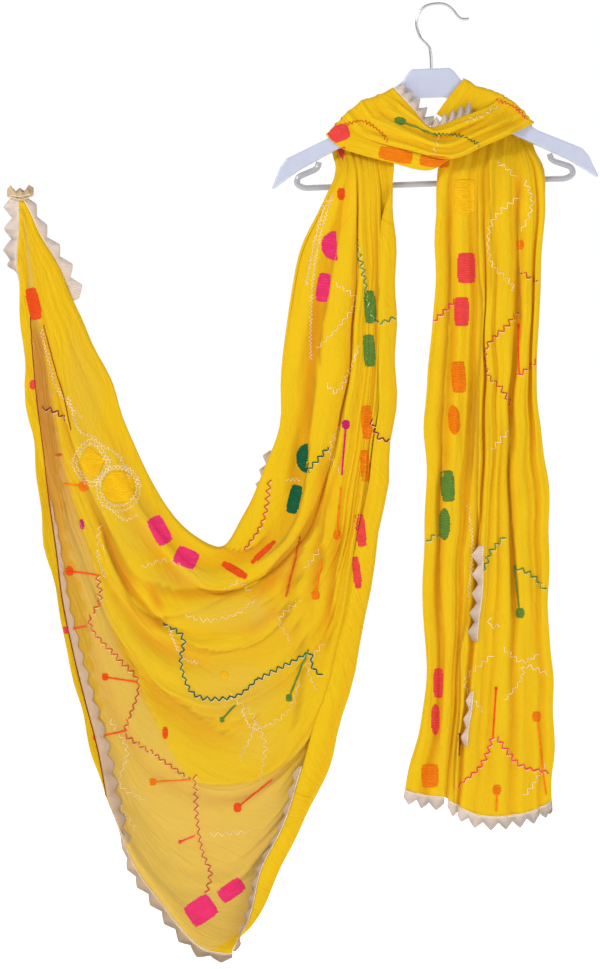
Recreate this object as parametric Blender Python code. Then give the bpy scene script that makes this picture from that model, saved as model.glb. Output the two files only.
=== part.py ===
"""Dupatta stole on a hanger.

A long sheer scarf with a lace edging, wound once round the neck of a plastic hanger. The middle of
the cloth makes a low cowl in front. Each end goes over an arm of the hanger, down behind it, forward
under it and in front of the trouser bar. The right end hangs as a gathered tail. The left end hangs
as a strand that opens into a deep swag, whose far corner is drawn out to the left.

Sizes are millimetres: x to the right, y to the back, z up, from the seat inside the hook's top.
Each stretch of cloth is a table with a row for each fold. A row's waypoints give a smooth line along
the cloth, the rows are joined by a smooth surface, and the surface gets the cloth's thickness.
"""

import math
from collections import namedtuple

import bmesh
import bpy
import numpy as np

MM = 0.001
CLOTH = 1.2  # thickness of the cloth wall
LACE = 1.0  # thickness of the lace
SEAM = 0.3  # gap between pieces that touch

# Hanger
TILT = math.radians(2.1)  # the right arm is the higher one
BLOCK_TOP = (-11.6, -82.2)  # x and z of the middle of the neck block's top
BODY_DEPTH = 12.0
BODY_ROUND = 2.5
HOOK_RADIUS = 1.8
BAR_RADIUS = 3.8

# Lace edging
LACE_GAP = 1.0  # between the cloth's edge and the lace
LACE_PITCH = 28.0
LACE_WIDTH = 20.0
LACE_HEADING = 0.45  # share of the width that is straight, with the points beyond it

Finish = namedtuple("Finish", "colour roughness metallic")
GEORGETTE = Finish((0.93, 0.62, 0.01), 0.75, 0.0)
BEIGE_LACE = Finish((0.66, 0.50, 0.38), 0.8, 0.0)
LAVENDER_PLASTIC = Finish((0.58, 0.60, 0.74), 0.35, 0.0)
GREY_PLASTIC = Finish((0.45, 0.44, 0.46), 0.4, 0.0)
STEEL = Finish((0.55, 0.55, 0.56), 0.25, 1.0)


# ---------------------------------------------------------------- shared helpers


def material(name, finish):
    """A plain Principled material for one piece."""
    made = bpy.data.materials.new(name + "_finish")
    made.use_nodes = True
    shader = made.node_tree.nodes["Principled BSDF"]
    shader.inputs["Base Color"].default_value = (*finish.colour, 1.0)
    shader.inputs["Roughness"].default_value = finish.roughness
    shader.inputs["Metallic"].default_value = finish.metallic
    return made


def unit(vectors):
    """Vectors at length 1."""
    length = np.linalg.norm(vectors, axis=-1, keepdims=True)
    return vectors / np.maximum(length, 1e-9)


def smooth_line(points, steps):
    """Points on a smooth curve through the given ones, with steps[i] pieces in span i."""
    points = np.asarray(points, float)
    first = 2 * points[0] - points[1]
    last = 2 * points[-1] - points[-2]
    points = np.vstack([first, points, last])
    knots = np.zeros(len(points))
    for i in range(1, len(points)):
        knots[i] = knots[i - 1] + max(np.linalg.norm(points[i] - points[i - 1]), 1e-6) ** 0.5
    line = []
    for span, pieces in enumerate(steps):
        p0, p1, p2, p3 = points[span : span + 4]
        t0, t1, t2, t3 = knots[span : span + 4]
        for t in np.linspace(t1, t2, pieces, endpoint=False):
            a1 = (t1 - t) / (t1 - t0) * p0 + (t - t0) / (t1 - t0) * p1
            a2 = (t2 - t) / (t2 - t1) * p1 + (t - t1) / (t2 - t1) * p2
            a3 = (t3 - t) / (t3 - t2) * p2 + (t - t2) / (t3 - t2) * p3
            b1 = (t2 - t) / (t2 - t0) * a1 + (t - t0) / (t2 - t0) * a2
            b2 = (t3 - t) / (t3 - t1) * a2 + (t - t1) / (t3 - t1) * a3
            line.append((t2 - t) / (t2 - t1) * b1 + (t - t1) / (t2 - t1) * b2)
    line.append(points[-2])
    return np.array(line)


def smooth_sheet(rows, along, across):
    """A grid of points (fold, station, xyz) through rows of waypoints."""
    lines = np.array([smooth_line(row, along) for row in rows])
    spans = [across] * (len(rows) - 1)
    return np.array([smooth_line(lines[:, i], spans) for i in range(lines.shape[1])]).swapaxes(0, 1)


def sheet_normals(grid):
    """The direction out of the sheet at each point of a grid."""
    return unit(np.cross(np.gradient(grid, axis=1), np.gradient(grid, axis=0)))


def add_mesh(name, vertices, faces, finish):
    """A mesh object from points in millimetres, with its faces turned outwards."""
    mesh = bpy.data.meshes.new(name)
    mesh.from_pydata([tuple(v) for v in np.asarray(vertices) * MM], [], faces)
    shape = bmesh.new()
    shape.from_mesh(mesh)
    bmesh.ops.recalc_face_normals(shape, faces=shape.faces)
    shape.to_mesh(mesh)
    shape.free()
    mesh.shade_smooth()
    mesh.materials.append(material(name, finish))
    thing = bpy.data.objects.new(name, mesh)
    bpy.context.collection.objects.link(thing)
    return thing


def wall(name, grid, finish, thickness):
    """Thicken a sheet, given as a grid of points, into one closed wall."""
    folds, stations = grid.shape[:2]
    half = sheet_normals(grid) * thickness / 2
    vertices = np.concatenate([(grid + half).reshape(-1, 3), (grid - half).reshape(-1, 3)])
    far = folds * stations

    def at(fold, station):
        return fold * stations + station

    faces = []
    for i in range(folds - 1):
        for j in range(stations - 1):
            loop = (at(i, j), at(i + 1, j), at(i + 1, j + 1), at(i, j + 1))
            rising = np.linalg.norm(grid[i, j] - grid[i + 1, j + 1])
            falling = np.linalg.norm(grid[i + 1, j] - grid[i, j + 1])
            a, b, c, d = loop if rising < falling else loop[1:] + loop[:1]
            for triangle in ((a, b, c), (a, c, d)):  # both skins split a twisted quad alike
                faces.append(triangle)
                faces.append(tuple(far + v for v in reversed(triangle)))
    rim = [at(i, 0) for i in range(folds)]
    rim += [at(folds - 1, j) for j in range(1, stations)]
    rim += [at(i, stations - 1) for i in range(folds - 2, -1, -1)]
    rim += [at(0, j) for j in range(stations - 2, 0, -1)]
    for a, b in zip(rim, rim[1:] + rim[:1]):
        faces.append((b, a, far + a, far + b))
    return add_mesh(name, vertices, faces, finish)


def tube(name, route, radius, finish, steps):
    """A round wire through a few waypoints."""
    line = smooth_line(route, [steps] * (len(route) - 1)) * MM
    curve = bpy.data.curves.new(name, "CURVE")
    curve.dimensions = "3D"
    curve.bevel_depth = radius * MM
    curve.bevel_resolution = 2
    curve.use_fill_caps = True
    spline = curve.splines.new("POLY")
    spline.points.add(len(line) - 1)
    for point, place in zip(spline.points, line):
        point.co = (*place, 1.0)
    curve.materials.append(material(name, finish))
    thing = bpy.data.objects.new(name, curve)
    bpy.context.collection.objects.link(thing)
    return thing


# ---------------------------------------------------------------- hanger

Corner = namedtuple("Corner", "out down")  # from the middle of the block's top

HALF_UPPER = (
    Corner(24, 0),
    Corner(29, 4),
    Corner(37, 15),
    Corner(85, 50),
    Corner(134, 84),
    Corner(190, 109),
    Corner(198, 119),
    Corner(210, 147),
)
HALF_LOWER = (
    Corner(206, 146),
    Corner(174, 124),
    Corner(136, 105),
    Corner(105, 90),
    Corner(60, 62),
    Corner(30, 42),
    Corner(15, 37),
)
BAR_HALF = (  # the trouser bar's end, from under the arm to the straight run
    Corner(148, 114.6),
    Corner(151, 122),
    Corner(164, 128),
    Corner(175, 133),
    Corner(177, 141),
    Corner(169, 146.4),
    Corner(150, 147),
)
HOOK_ROUTE = (  # x and z
    (-11.0, -82.8),
    (-11.6, -66),
    (-14, -54),
    (-25, -42),
    (-30, -26),
    (-28, -12),
    (-18, -1.5),
    (-4, 1.6),
    (7, 0.5),
    (16, -5.5),
    (22, -13),
    (28, -18),
    (37, -18),
)


def on_hanger(side, corner):
    """World x and z of a corner on one side of the tilted hanger."""
    across, up = side * corner.out, -corner.down
    x = BLOCK_TOP[0] + across * math.cos(TILT) - up * math.sin(TILT)
    z = BLOCK_TOP[1] + across * math.sin(TILT) + up * math.cos(TILT)
    return x, z


def arm_height(edge, x):
    """The height of the arm's upper or lower edge at x."""
    places = sorted(on_hanger(side, c) for side in (-1, 1) for c in edge)
    return float(np.interp(x, [p[0] for p in places], [p[1] for p in places]))


def build_hanger():
    """The moulded body with its two arms, the wire hook and the trouser bar."""
    outline = [on_hanger(1, c) for c in HALF_UPPER + HALF_LOWER]
    outline += [on_hanger(-1, c) for c in reversed(HALF_UPPER + HALF_LOWER)]
    count = len(outline)
    vertices = [(x, y, z) for y in (-BODY_DEPTH / 2, BODY_DEPTH / 2) for x, z in outline]
    faces = [tuple(range(count)), tuple(range(2 * count - 1, count - 1, -1))]
    for i in range(count):
        j = (i + 1) % count
        faces.append((i, i + count, j + count, j))
    body = add_mesh("hanger_body", vertices, faces, LAVENDER_PLASTIC)
    rounding = body.modifiers.new("rounding", "BEVEL")
    rounding.width = BODY_ROUND * MM
    rounding.segments = 2
    rounding.limit_method = "ANGLE"
    rounding.angle_limit = math.radians(50)

    hook = [(x, 0, z) for x, z in HOOK_ROUTE]
    hook[0] = (hook[0][0], 0, BLOCK_TOP[1] + SEAM)
    tube("hanger_hook", hook, HOOK_RADIUS, STEEL, 3)

    left = [(x, 0, z) for x, z in (on_hanger(-1, c) for c in BAR_HALF)]
    right = [(x, 0, z) for x, z in (on_hanger(1, c) for c in BAR_HALF)]
    tube("hanger_bar", left + right[::-1], BAR_RADIUS, GREY_PLASTIC, 3)


# ---------------------------------------------------------------- cloth

Outline = namedtuple("Outline", "x z")

LEFT_HUMP = (  # top of the cloth heaped over the left arm
    Outline(-148, -169),
    Outline(-135, -152),
    Outline(-126, -143),
    Outline(-109, -130),
    Outline(-96, -123),
    Outline(-60, -112),
)
RIGHT_HUMP = (  # top of the cloth heaped over the right arm
    Outline(26, -93),
    Outline(49, -104),
    Outline(72, -109),
    Outline(80, -118),
    Outline(94, -123),
    Outline(100, -131),
    Outline(113, -144),
    Outline(124, -159),
)
SHORT_EDGE = (  # outline of the left end's short edge, from the held corner to the lower one
    Outline(-537, -250),
    Outline(-539, -366),
    Outline(-532, -482),
    Outline(-519, -597),
    Outline(-502, -713),
    Outline(-480, -828),
    Outline(-452, -944),
    Outline(-420, -1040),
    Outline(-381, -1112),
    Outline(-338, -1180),
    Outline(-300, -1212),
    Outline(-256, -1214),
)

Swag = namedtuple(
    "Swag",
    "fold neck high mid low hip_x hip_z sag_x sag_z turn_x turn_z rise_x rise_z share strand swag",
)
# neck, high, mid and low are x at those heights of the strand. share is how far down the short edge
# the fold ends. strand and swag say how far forward it stands there.
SWAG = (
    Swag("tucked edge", -134, -159, -184, -194, -234, -661, -290, -713, -360, -661, -429, -510, 0.0, -8.5, -8),
    Swag("fold behind", -130, -175, -199, -211, -249, -652, -284, -699, -353, -645, -421, -489, 0.004, -4.5, -4),
    Swag("top fold", -127, -174, -198, -210, -249, -652, -284, -699, -353, -645, -421, -491, 0.009, 1, 2),
    Swag("panel gap", -117, -131, -159, -172, -204, -674, -288, -724, -362, -670, -435, -518, 0.015, -4, 3),
    Swag("first lip", -110, -108, -116, -136, -181, -682, -283, -749, -346, -704, -448, -541, 0.021, 6, 10),
    Swag("first tuck", -106, -104, -112, -132, -176, -688, -284, -757, -351, -712, -452, -546, 0.027, -3, -2),
    Swag("second lip", -101, -98, -104, -121, -163, -712, -315, -799, -380, -758, -464, -572, 0.034, 5, 7),
    Swag("second tuck", -98, -95, -100, -117, -161, -718, -313, -807, -383, -766, -466, -577, 0.042, -3, -4),
    Swag("third lip", -94, -91, -95, -110, -159, -751, -283, -830, -365, -809, -474, -602, 0.052, 4, 6),
    Swag("third tuck", -92, -88, -92, -107, -158, -759, -281, -839, -367, -817, -477, -608, 0.062, -3, -4),
    Swag("soft lip", -89, -84, -87, -100, -162, -817, -276, -895, -374, -855, -478, -633, 0.075, 4, 4),
    Swag("soft tuck", -86, -82, -84, -96, -158, -825, -275, -906, -375, -864, -480, -640, 0.09, -3, -3),
    Swag("low lip", -83, -78, -78, -89, -175, -935, -276, -1001, -372, -950, -460, -728, 0.2, 4, 7),
    Swag("low tuck", -80, -74, -74, -85, -168, -940, -272, -1012, -375, -962, -466, -735, 0.25, -3, -4),
    Swag("sheer high", -78, -71, -69, -78, -155, -932, -259, -1047, -372, -1015, -465, -822, 0.4, -3, -2),
    Swag("sheer middle", -75, -67, -66, -74, -151, -932, -254, -1075, -344, -1072, -414, -993, 0.62, -3, -1),
    Swag("sheer turning", -73, -65, -64, -71, -147, -934, -253, -1093, -324, -1103, -380, -1067, 0.72, -3, -1),
    Swag("sheer low", -71, -63, -62, -68, -143, -935, -250, -1114, -302, -1134, -347, -1133, 0.82, -3, -2),
    Swag("strip back", -69, -60, -58, -64, -133, -936, -193, -1067, -229, -1132, -257, -1183, 0.95, -4, -4),
    Swag("right turn", -66, -58, -56, -61, -131, -938, -177, -1049, -216, -1130, -243, -1184, 0.975, 1, 0),
    Swag("right fold", -63, -59, -57, -62, -132, -936, -179, -1048, -217, -1130, -244, -1184, 0.985, 5, 4),
    Swag("strip edge", -60, -80, -81, -87, -163, -923, -204, -1060, -234, -1130, -248, -1180, 0.99, 10, 8),
)
NECK_Z, HIGH_Z, MID_Z, LOW_Z = -214.0, -302.0, -430.0, -559.0
STRAND_Y = -14.0  # the strand's middle depth, in front of the bar
SWAG_Y = -9.0
HEM_TURN = 18.0  # how far the short edge is folded back behind the swag
HEM_DROP = 7.0  # how far behind it lies
CORNER_FLARE = 12.0  # how far the long edge swings out near the held corner

Tail = namedtuple("Tail", "fold neck high mid low shin foot hem_x hem_z lift")
TAIL = (
    Tail("left back", -3, 5, -7, -8, -10, -8, -31, -1008, -10),
    Tail("left turn", 0, -6, -19, -19, -21, -19, -45, -1006, -5),
    Tail("left fold", 5, -5, -18, -18, -20, -18, -44, -1006, 1),
    Tail("left crease", 17, 17, 12, 3, 0, 0, -21, -1015, -5),
    Tail("left roll", 31, 32, 28, 21, 15, 10, 1, -1017, 2),
    Tail("under gap", 41, 43, 41, 34, 25, 18, 5, -1018, -8),
    Tail("gold ridge", 50, 51, 50, 48, 34, 25, 14, -1023, 3),
    Tail("dark gap", 58, 57, 56, 54, 45, 32, 21, -1026, -7),
    Tail("front edge", 64, 63, 63, 61, 52, 40, 29, -1030, 6),
    Tail("front crease", 71, 71, 73, 69, 62, 52, 44, -1036, -1),
    Tail("front roll", 82, 82, 81, 78, 75, 69, 67, -1039, 6),
    Tail("deep crease", 98, 102, 92, 90, 92, 92, 92, -1037, -8),
    Tail("side roll", 111, 114, 107, 109, 112, 113, 113, -1034, 4),
    Tail("side crease", 120, 119, 115, 121, 124, 130, 128, -1029, -3),
    Tail("right fold", 127, 126, 122, 134, 136, 144, 142, -1021, 4),
    Tail("right turn", 130, 127, 123, 135, 137, 145, 143, -1021, -3),
    Tail("right back", 133, 117, 113, 124, 127, 135, 133, -1024, -9),
)
TAIL_LEVELS = (-214.0, -379.0, -507.0, -610.0, -764.0, -893.0)
TAIL_Y = -14.0

Cowl = namedtuple("Cowl", "fold left_x left_z sag_x sag_z right_x right_z left_fall right_fall depth")
COWL = (
    Cowl("neck edge", -60, -109, -15, -159, 78, -117, 1.0, 0.6, -21),
    Cowl("first fold", -72, -113, -8, -167, 85, -119, 0.8, 0.6, -28),
    Cowl("first hollow", -84, -118, -3, -173, 92, -123, 0.6, 0.6, -24),
    Cowl("main fold", -99, -122, 3, -182, 101, -129, 0.45, 0.65, -34),
    Cowl("main hollow", -110, -131, 8, -190, 108, -138, 0.45, 0.7, -30),
    Cowl("lip", -123, -141, 13, -197, 116, -147, 0.45, 0.8, -35),
    Cowl("lip turn", -126, -145, 13, -201, 120, -150, 0.45, 0.8, -31),
)
ROLL = (
    Cowl("under the lip", -128, -150, -10, -188, 58, -164, 0.5, 0.9, -21.5),
    Cowl("block border", -137, -157, -12, -202, 54, -171, 0.5, 0.9, -27),
    Cowl("lower edge", -146, -166, -15, -215, 50, -177, 0.5, 0.9, -25),
)
Shoulder = namedtuple("Shoulder", "fold top_x top_z low_x low_z depth")
SHOULDER = (
    Shoulder("inner edge", 29, -94, -5, -141, -9.5),
    Shoulder("inner fold", 38, -98, 9, -150, -11),
    Shoulder("hollow", 46, -104, 22, -153, -8),
    Shoulder("outer fold", 57, -107, 38, -151, -9),
    Shoulder("outer edge", 69, -110, 52, -146, -7.6),
)
COWL_FACE, ROLL_FACE = -12.0, -8.0  # depth of the cowl and the roll on the front of an arm
ROLL_END = -19.0  # depth of the roll's right end, behind the cowl's lip
END_GAP = 0.4  # how far each stretch ends from the middle of the arm's top


def along_outline(outline, share):
    """The point at a share of an outline's length."""
    points = np.array([(p.x, p.z) for p in outline], float)
    length = np.r_[0, np.cumsum(np.linalg.norm(np.diff(points, axis=0), axis=1))]
    at = share * length[-1]
    return np.array([np.interp(at, length, points[:, 0]), np.interp(at, length, points[:, 1])])


def heap(hump, x):
    """Height of the heaped cloth's top at x."""
    return float(np.interp(x, [p.x for p in hump], [p.z for p in hump]))


def over_arm(hump, top_x, under_x, lift):
    """Waypoints from the top of the arm, down behind it and forward under it."""
    upper, lower = arm_height(HALF_UPPER, top_x), arm_height(HALF_LOWER, top_x)
    top = max(heap(hump, top_x) + 0.25 * lift - 2.0, upper + 2.2)
    behind = BODY_DEPTH / 2 + 4.0 - 0.3 * lift
    return [
        (top_x, END_GAP, top),
        (top_x, BODY_DEPTH / 2 + 2.2, top - 2.5),
        (top_x, behind, (upper + lower) / 2),
        (under_x, BODY_DEPTH / 2 + 2.0 - 0.1 * lift, arm_height(HALF_LOWER, under_x) - 6.0),
    ]


def swag_rows():
    """Waypoints of each fold of the left end, from the arm to the short edge."""
    rows = []
    for index, fold in enumerate(SWAG):
        top_x = float(np.interp(index, (0, len(SWAG) - 1), (-140, -64)))
        strand_y = STRAND_Y - fold.strand
        neck_y = STRAND_Y - fold.strand * (1.0 if index < 3 else 0.8 if index > 18 else 0.3)
        swag_y = SWAG_Y - fold.swag
        corner = along_outline(SHORT_EDGE, fold.share)
        rise = np.array([fold.rise_x, fold.rise_z])
        pinch = corner + (rise - corner) * 0.5
        pinch[0] += (CORNER_FLARE, CORNER_FLARE / 3)[index] if index < 2 else 0.0
        folded = np.interp(fold.share, (0.075, 0.11, 0.62, 0.88), (0, 1, 1, 0))
        ease = 1.0 if fold.share > 0.9 else 0.5  # folds soften towards the short edge
        along = along_outline(SHORT_EDGE, fold.share + 0.02) - along_outline(SHORT_EDGE, fold.share - 0.02)
        outward = unit(np.array([along[1], -along[0]]))
        angle = math.pi * folded  # 0 lies flat and outwards, pi is folded right back
        reach = 4.0 + (HEM_TURN - 4.0) * folded
        turned = corner + outward * 2.0 * math.cos(angle)
        turned_y = SWAG_Y + 0.8 * HEM_DROP * folded + 0.4 * reach * math.sin(angle)
        end = corner + outward * reach * math.cos(angle)
        end_y = SWAG_Y + HEM_DROP * folded + reach * math.sin(angle)
        rows.append(
            over_arm(LEFT_HUMP, top_x, (top_x + fold.neck) / 2, fold.strand)
            + [
                (fold.neck, neck_y, NECK_Z),
                (fold.high, strand_y, HIGH_Z),
                (fold.mid, strand_y, MID_Z),
                (fold.low, strand_y, LOW_Z),
                (fold.hip_x, (strand_y + swag_y) / 2, fold.hip_z),
                (fold.sag_x, swag_y, fold.sag_z),
                (fold.turn_x, swag_y, fold.turn_z),
                (fold.rise_x, SWAG_Y - ease * fold.swag, fold.rise_z),
                (pinch[0], SWAG_Y - ease * fold.swag, pinch[1]),
                (corner[0], SWAG_Y, corner[1]),
                (turned[0], turned_y, turned[1]),
                (end[0], end_y, end[1]),
            ]
        )
    return rows


def tail_rows():
    """Waypoints of each fold of the right end, from the arm to the hem."""
    rows = []
    for index, fold in enumerate(TAIL):
        top_x = float(np.interp(index, (0, len(TAIL) - 1), (32, 118)))
        depth = TAIL_Y - fold.lift
        neck_y = TAIL_Y - fold.lift * (0.85 if index < 3 or index > 13 else 0.4)
        levels = zip(fold[2:7], TAIL_LEVELS[1:])
        rows.append(
            over_arm(RIGHT_HUMP, top_x, (2 * top_x + fold.neck) / 3, fold.lift)
            + [(fold.neck, neck_y, TAIL_LEVELS[0])]
            + [(x, depth, z) for x, z in levels]
            + [(fold.hem_x, depth, fold.hem_z)]
        )
    return rows


def on_top(x, z):
    """A place on top of the arm, at z or just above the arm if z is lower than that."""
    return (x, -END_GAP, max(z, arm_height(HALF_UPPER, x) + 2.0))


def cowl_rows(table, face, free_end=None):
    """Waypoints of each fold of a band that hangs in front from arm to arm.

    A free_end is the depth at which the right end stops behind the cloth in front of it.
    """
    front = -(BODY_DEPTH / 2 + 2.2)
    rows = []
    for fold in table:
        left, sag, right = (np.array(p) for p in (fold[1:3], fold[3:5], fold[5:7]))
        left_top, right_top = on_top(*left), on_top(*right)
        row = [left_top, (left[0], front, left_top[2] - 2.5)]
        for share, forward in ((0.14, 0.0), (0.3, 0.45), (0.6, 0.85)):
            x = left[0] + (sag[0] - left[0]) * share
            z = left[1] + (sag[1] - left[1]) * share**fold.left_fall
            row.append((x, face + (fold.depth - face) * forward, z))
        row.append((sag[0], fold.depth, sag[1]))
        for share, forward in ((0.6, 0.85), (0.3, 0.45), (0.14, 0.0)):
            x = right[0] + (sag[0] - right[0]) * share
            z = right[1] + (sag[1] - right[1]) * share**fold.right_fall
            y = face + (fold.depth - face) * forward
            if free_end is not None:
                y = fold.depth + (free_end - fold.depth) * (1 - share)
            row.append((x, y, z))
        if free_end is not None:
            row.append((right[0], free_end, right[1]))
        else:
            row += [(right[0], front, right_top[2] - 2.5), right_top]
        rows.append(row)
    return rows


def shoulder_rows():
    """Waypoints of the inner turn of the right side, from over the arm to behind the cowl."""
    rows = []
    for fold in SHOULDER:
        top_y = -BODY_DEPTH / 2 - 2.2
        rows.append(
            [
                on_top(fold.top_x, fold.top_z),
                (fold.top_x, top_y, fold.top_z - 3),
                ((fold.top_x + fold.low_x) / 2, fold.depth, (fold.top_z + fold.low_z) / 2),
                (fold.low_x, fold.depth, fold.low_z),
            ]
        )
    return rows


def edge_between(line, upper, lower, count=6):
    """Points of a hanging line between two heights."""
    heights = np.linspace(upper, lower, count)
    order = np.argsort(line[:, 2])
    return np.column_stack(
        [np.interp(heights, line[order, 2], line[order, axis]) for axis in range(3)]
    )


def add_lace(name, edge, outward, width=LACE_WIDTH, pitch=LACE_PITCH):
    """A strip of lace with pointed scallops that goes on from an edge of the cloth."""
    outward = np.broadcast_to(outward, edge.shape)
    length = np.r_[0, np.cumsum(np.linalg.norm(np.diff(edge, axis=0), axis=1))]
    scallops = max(1, round(length[-1] / pitch))
    half_pitch = length[-1] / scallops / 2
    at = np.arange(2 * scallops + 1) * half_pitch
    corners = [spot for spot in length if np.abs(at - spot).min() > half_pitch / 8]
    at = np.sort(np.r_[at, corners])
    base = np.column_stack([np.interp(at, length, edge[:, axis]) for axis in range(3)])
    out = unit(np.column_stack([np.interp(at, length, outward[:, axis]) for axis in range(3)]))
    point = 1 - np.abs(at / half_pitch % 2 - 1)
    reach = width * (LACE_HEADING + (1 - LACE_HEADING) * point)
    bands = (LACE_GAP + 0.0 * at, 0.8 * LACE_HEADING * width + 0.0 * at, reach)
    return wall(name, np.array([base + out * band[:, None] for band in bands]), BEIGE_LACE, LACE)


def build_lace(swag, tail, cowl, shoulder):
    """The lace wherever it shows, each run as its own strip."""
    add_lace("lace_short_edge", swag[:, -1], unit(swag[:, -1] - swag[:, -2]))
    add_lace("lace_long_edge", swag[0, 29:33], unit(np.array([0.92, 0.1, 0.38])))
    add_lace("lace_strip", swag[-1, 17:34], unit(swag[-1, 17:34] - swag[-2, 17:34]))
    on_cloth = SWAG_Y - CLOTH / 2 - SEAM - LACE / 2
    cap = np.array([(-557.0, on_cloth, -251.0), (-538.0, on_cloth, -252.5), (-521.0, on_cloth, -251.0)])
    add_lace("lace_corner", cap, np.array([0.0, 0.0, 1.0]), 14, 16)
    behind = np.array([(-226.0, -4.0, -628.0), (-212.0, -4.0, -574.0)])
    add_lace("lace_strand", behind, unit(np.array([-0.96, 0.0, 0.28])), 14, 18)

    back = np.linspace(-0.05, 0.35, 9)  # upright on the arm, then leaning back as the cloth does
    neck_out = np.column_stack([0.75 + 0 * back, back, 0.65 + 0 * back])
    add_lace("lace_neck_left", cowl[0, 2:11], unit(neck_out), 13, 18)
    add_lace("lace_neck_right", shoulder[:5, -1], np.array([0.0, 0.0, -1.0]), 13, 12)

    add_lace("lace_hem_left", tail[:10, -1], unit(tail[:10, -1] - tail[:10, -2]))
    add_lace("lace_hem_right", tail[11:, -1], unit(tail[11:, -1] - tail[11:, -2]))
    front = tail[16] + np.array([0.0, -1.3, 0.0])
    away = unit(np.array([-1.0, -0.1, 0.0]))
    add_lace("lace_front_upper", edge_between(front, -694, -816), away, 18)
    add_lace("lace_front_lower", edge_between(front, -880, -950), away, 14)


def build_cloth():
    """Every stretch of the scarf that shows, and its lace edging."""
    swag = smooth_sheet(swag_rows(), [2] * 7 + [3] * 6 + [2] * 2, 2)
    wall("stole_swag", swag, GEORGETTE, CLOTH)
    tail = smooth_sheet(tail_rows(), [2] * 10, 2)
    wall("stole_tail", tail, GEORGETTE, CLOTH)
    cowl = smooth_sheet(cowl_rows(COWL, COWL_FACE), [2] * 10, 2)
    wall("stole_cowl", cowl, GEORGETTE, CLOTH)
    roll = smooth_sheet(cowl_rows(ROLL, ROLL_FACE, ROLL_END), [2] * 9, 2)
    wall("stole_roll", roll, GEORGETTE, CLOTH)
    shoulder = smooth_sheet(shoulder_rows(), [2] * 3, 2)
    wall("stole_shoulder_right", shoulder, GEORGETTE, CLOTH)
    build_lace(swag, tail, cowl, shoulder)


def main():
    """Clear the scene and build every piece."""
    for thing in list(bpy.data.objects):
        bpy.data.objects.remove(thing)
    build_hanger()
    build_cloth()


main()
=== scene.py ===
# %% [markdown]
# A dupatta stole on a hanger. A dupatta is a long sheer scarf: here yellow georgette, 2.5 m by 1 m,
# embroidered with silk blocks, pins and zigzag trails and edged with beige lace. It is wound once
# round the neck of a plastic hanger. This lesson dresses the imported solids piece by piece. It starts
# with the frame, because every piece has to sit where the solids say.

# %% Load the frame
import math
from collections import namedtuple

import bpy
import numpy as np
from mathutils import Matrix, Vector
from mathutils.bvhtree import BVHTree


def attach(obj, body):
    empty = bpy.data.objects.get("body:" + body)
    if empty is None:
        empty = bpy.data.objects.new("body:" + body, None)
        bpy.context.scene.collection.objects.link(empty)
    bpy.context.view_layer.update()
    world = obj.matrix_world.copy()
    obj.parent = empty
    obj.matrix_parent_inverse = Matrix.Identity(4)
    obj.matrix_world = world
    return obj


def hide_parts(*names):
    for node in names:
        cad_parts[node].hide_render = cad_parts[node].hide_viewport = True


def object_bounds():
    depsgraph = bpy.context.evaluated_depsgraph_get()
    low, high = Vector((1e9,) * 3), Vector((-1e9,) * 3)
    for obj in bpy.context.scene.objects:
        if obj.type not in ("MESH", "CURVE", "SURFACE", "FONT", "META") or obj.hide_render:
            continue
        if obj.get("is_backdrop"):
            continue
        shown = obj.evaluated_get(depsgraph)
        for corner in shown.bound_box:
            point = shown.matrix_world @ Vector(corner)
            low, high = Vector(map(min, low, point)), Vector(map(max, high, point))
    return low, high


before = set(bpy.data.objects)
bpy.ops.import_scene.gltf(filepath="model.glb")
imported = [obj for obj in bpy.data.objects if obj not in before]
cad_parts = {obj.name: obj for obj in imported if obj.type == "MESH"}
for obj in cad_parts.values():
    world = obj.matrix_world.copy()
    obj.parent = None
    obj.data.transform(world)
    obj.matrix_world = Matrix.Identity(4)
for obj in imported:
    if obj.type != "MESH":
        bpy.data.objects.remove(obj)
solid_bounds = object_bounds()
MM = 0.001  # the tables below are in millimetres, and Blender works in metres
print("solids", len(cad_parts), "box", [round(x, 3) for x in solid_bounds[1] - solid_bounds[0]])

# %% [markdown]
# Every finish is a small tree of nodes, and each node takes several lines to add, set and link. So a
# few helpers come first. An input is given either a plain value or the socket that feeds it.

# %% Helpers for objects and nodes


def add_thing(name, data, place=(0, 0, 0), turn=(0, 0, 0)):
    """A new object in the scene."""
    thing = bpy.data.objects.new(name, data)
    thing.location, thing.rotation_euler = place, turn
    bpy.context.collection.objects.link(thing)
    return thing


def set_inputs(tree, node, values):
    """Sets a node's inputs, by their labels or numbers."""
    for label, value in values.items():
        socket = node.inputs[label]
        if isinstance(value, bpy.types.NodeSocket):
            tree.links.new(value, socket)
        else:
            socket.default_value = (*value, 1.0) if socket.type == "RGBA" else value


def add_node(tree, kind, values, **settings):
    """A node with its settings and inputs."""
    node = tree.nodes.new("ShaderNode" + kind)
    for label, value in settings.items():
        setattr(node, label, value)
    set_inputs(tree, node, values)
    return node


def maths(tree, operation, *values):
    """The result of a Math node."""
    return add_node(tree, "Math", dict(enumerate(values)), operation=operation).outputs[0]


def blend(tree, factor, first, second):
    """A mix of two colours. A Mix node keeps its colours in inputs 6 and 7 and its result in output 2."""
    return add_node(tree, "Mix", {0: factor, 6: first, 7: second}, data_type="RGBA").outputs[2]


def coordinates(tree, kind):
    """Places on the object, or on the piece's own UV map."""
    return add_node(tree, "TexCoord", {}).outputs[kind]


def noise(tree, place, scale, detail=2.0, distortion=0.0):
    """Cloudy values round a half."""
    values = {"Vector": place, "Scale": scale, "Detail": detail, "Distortion": distortion}
    return add_node(tree, "TexNoise", values).outputs["Fac"]


def bump(tree, height, strength, distance):
    """A normal tilted by a height."""
    values = {"Height": height, "Strength": strength, "Distance": distance}
    return add_node(tree, "Bump", values).outputs["Normal"]


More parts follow.
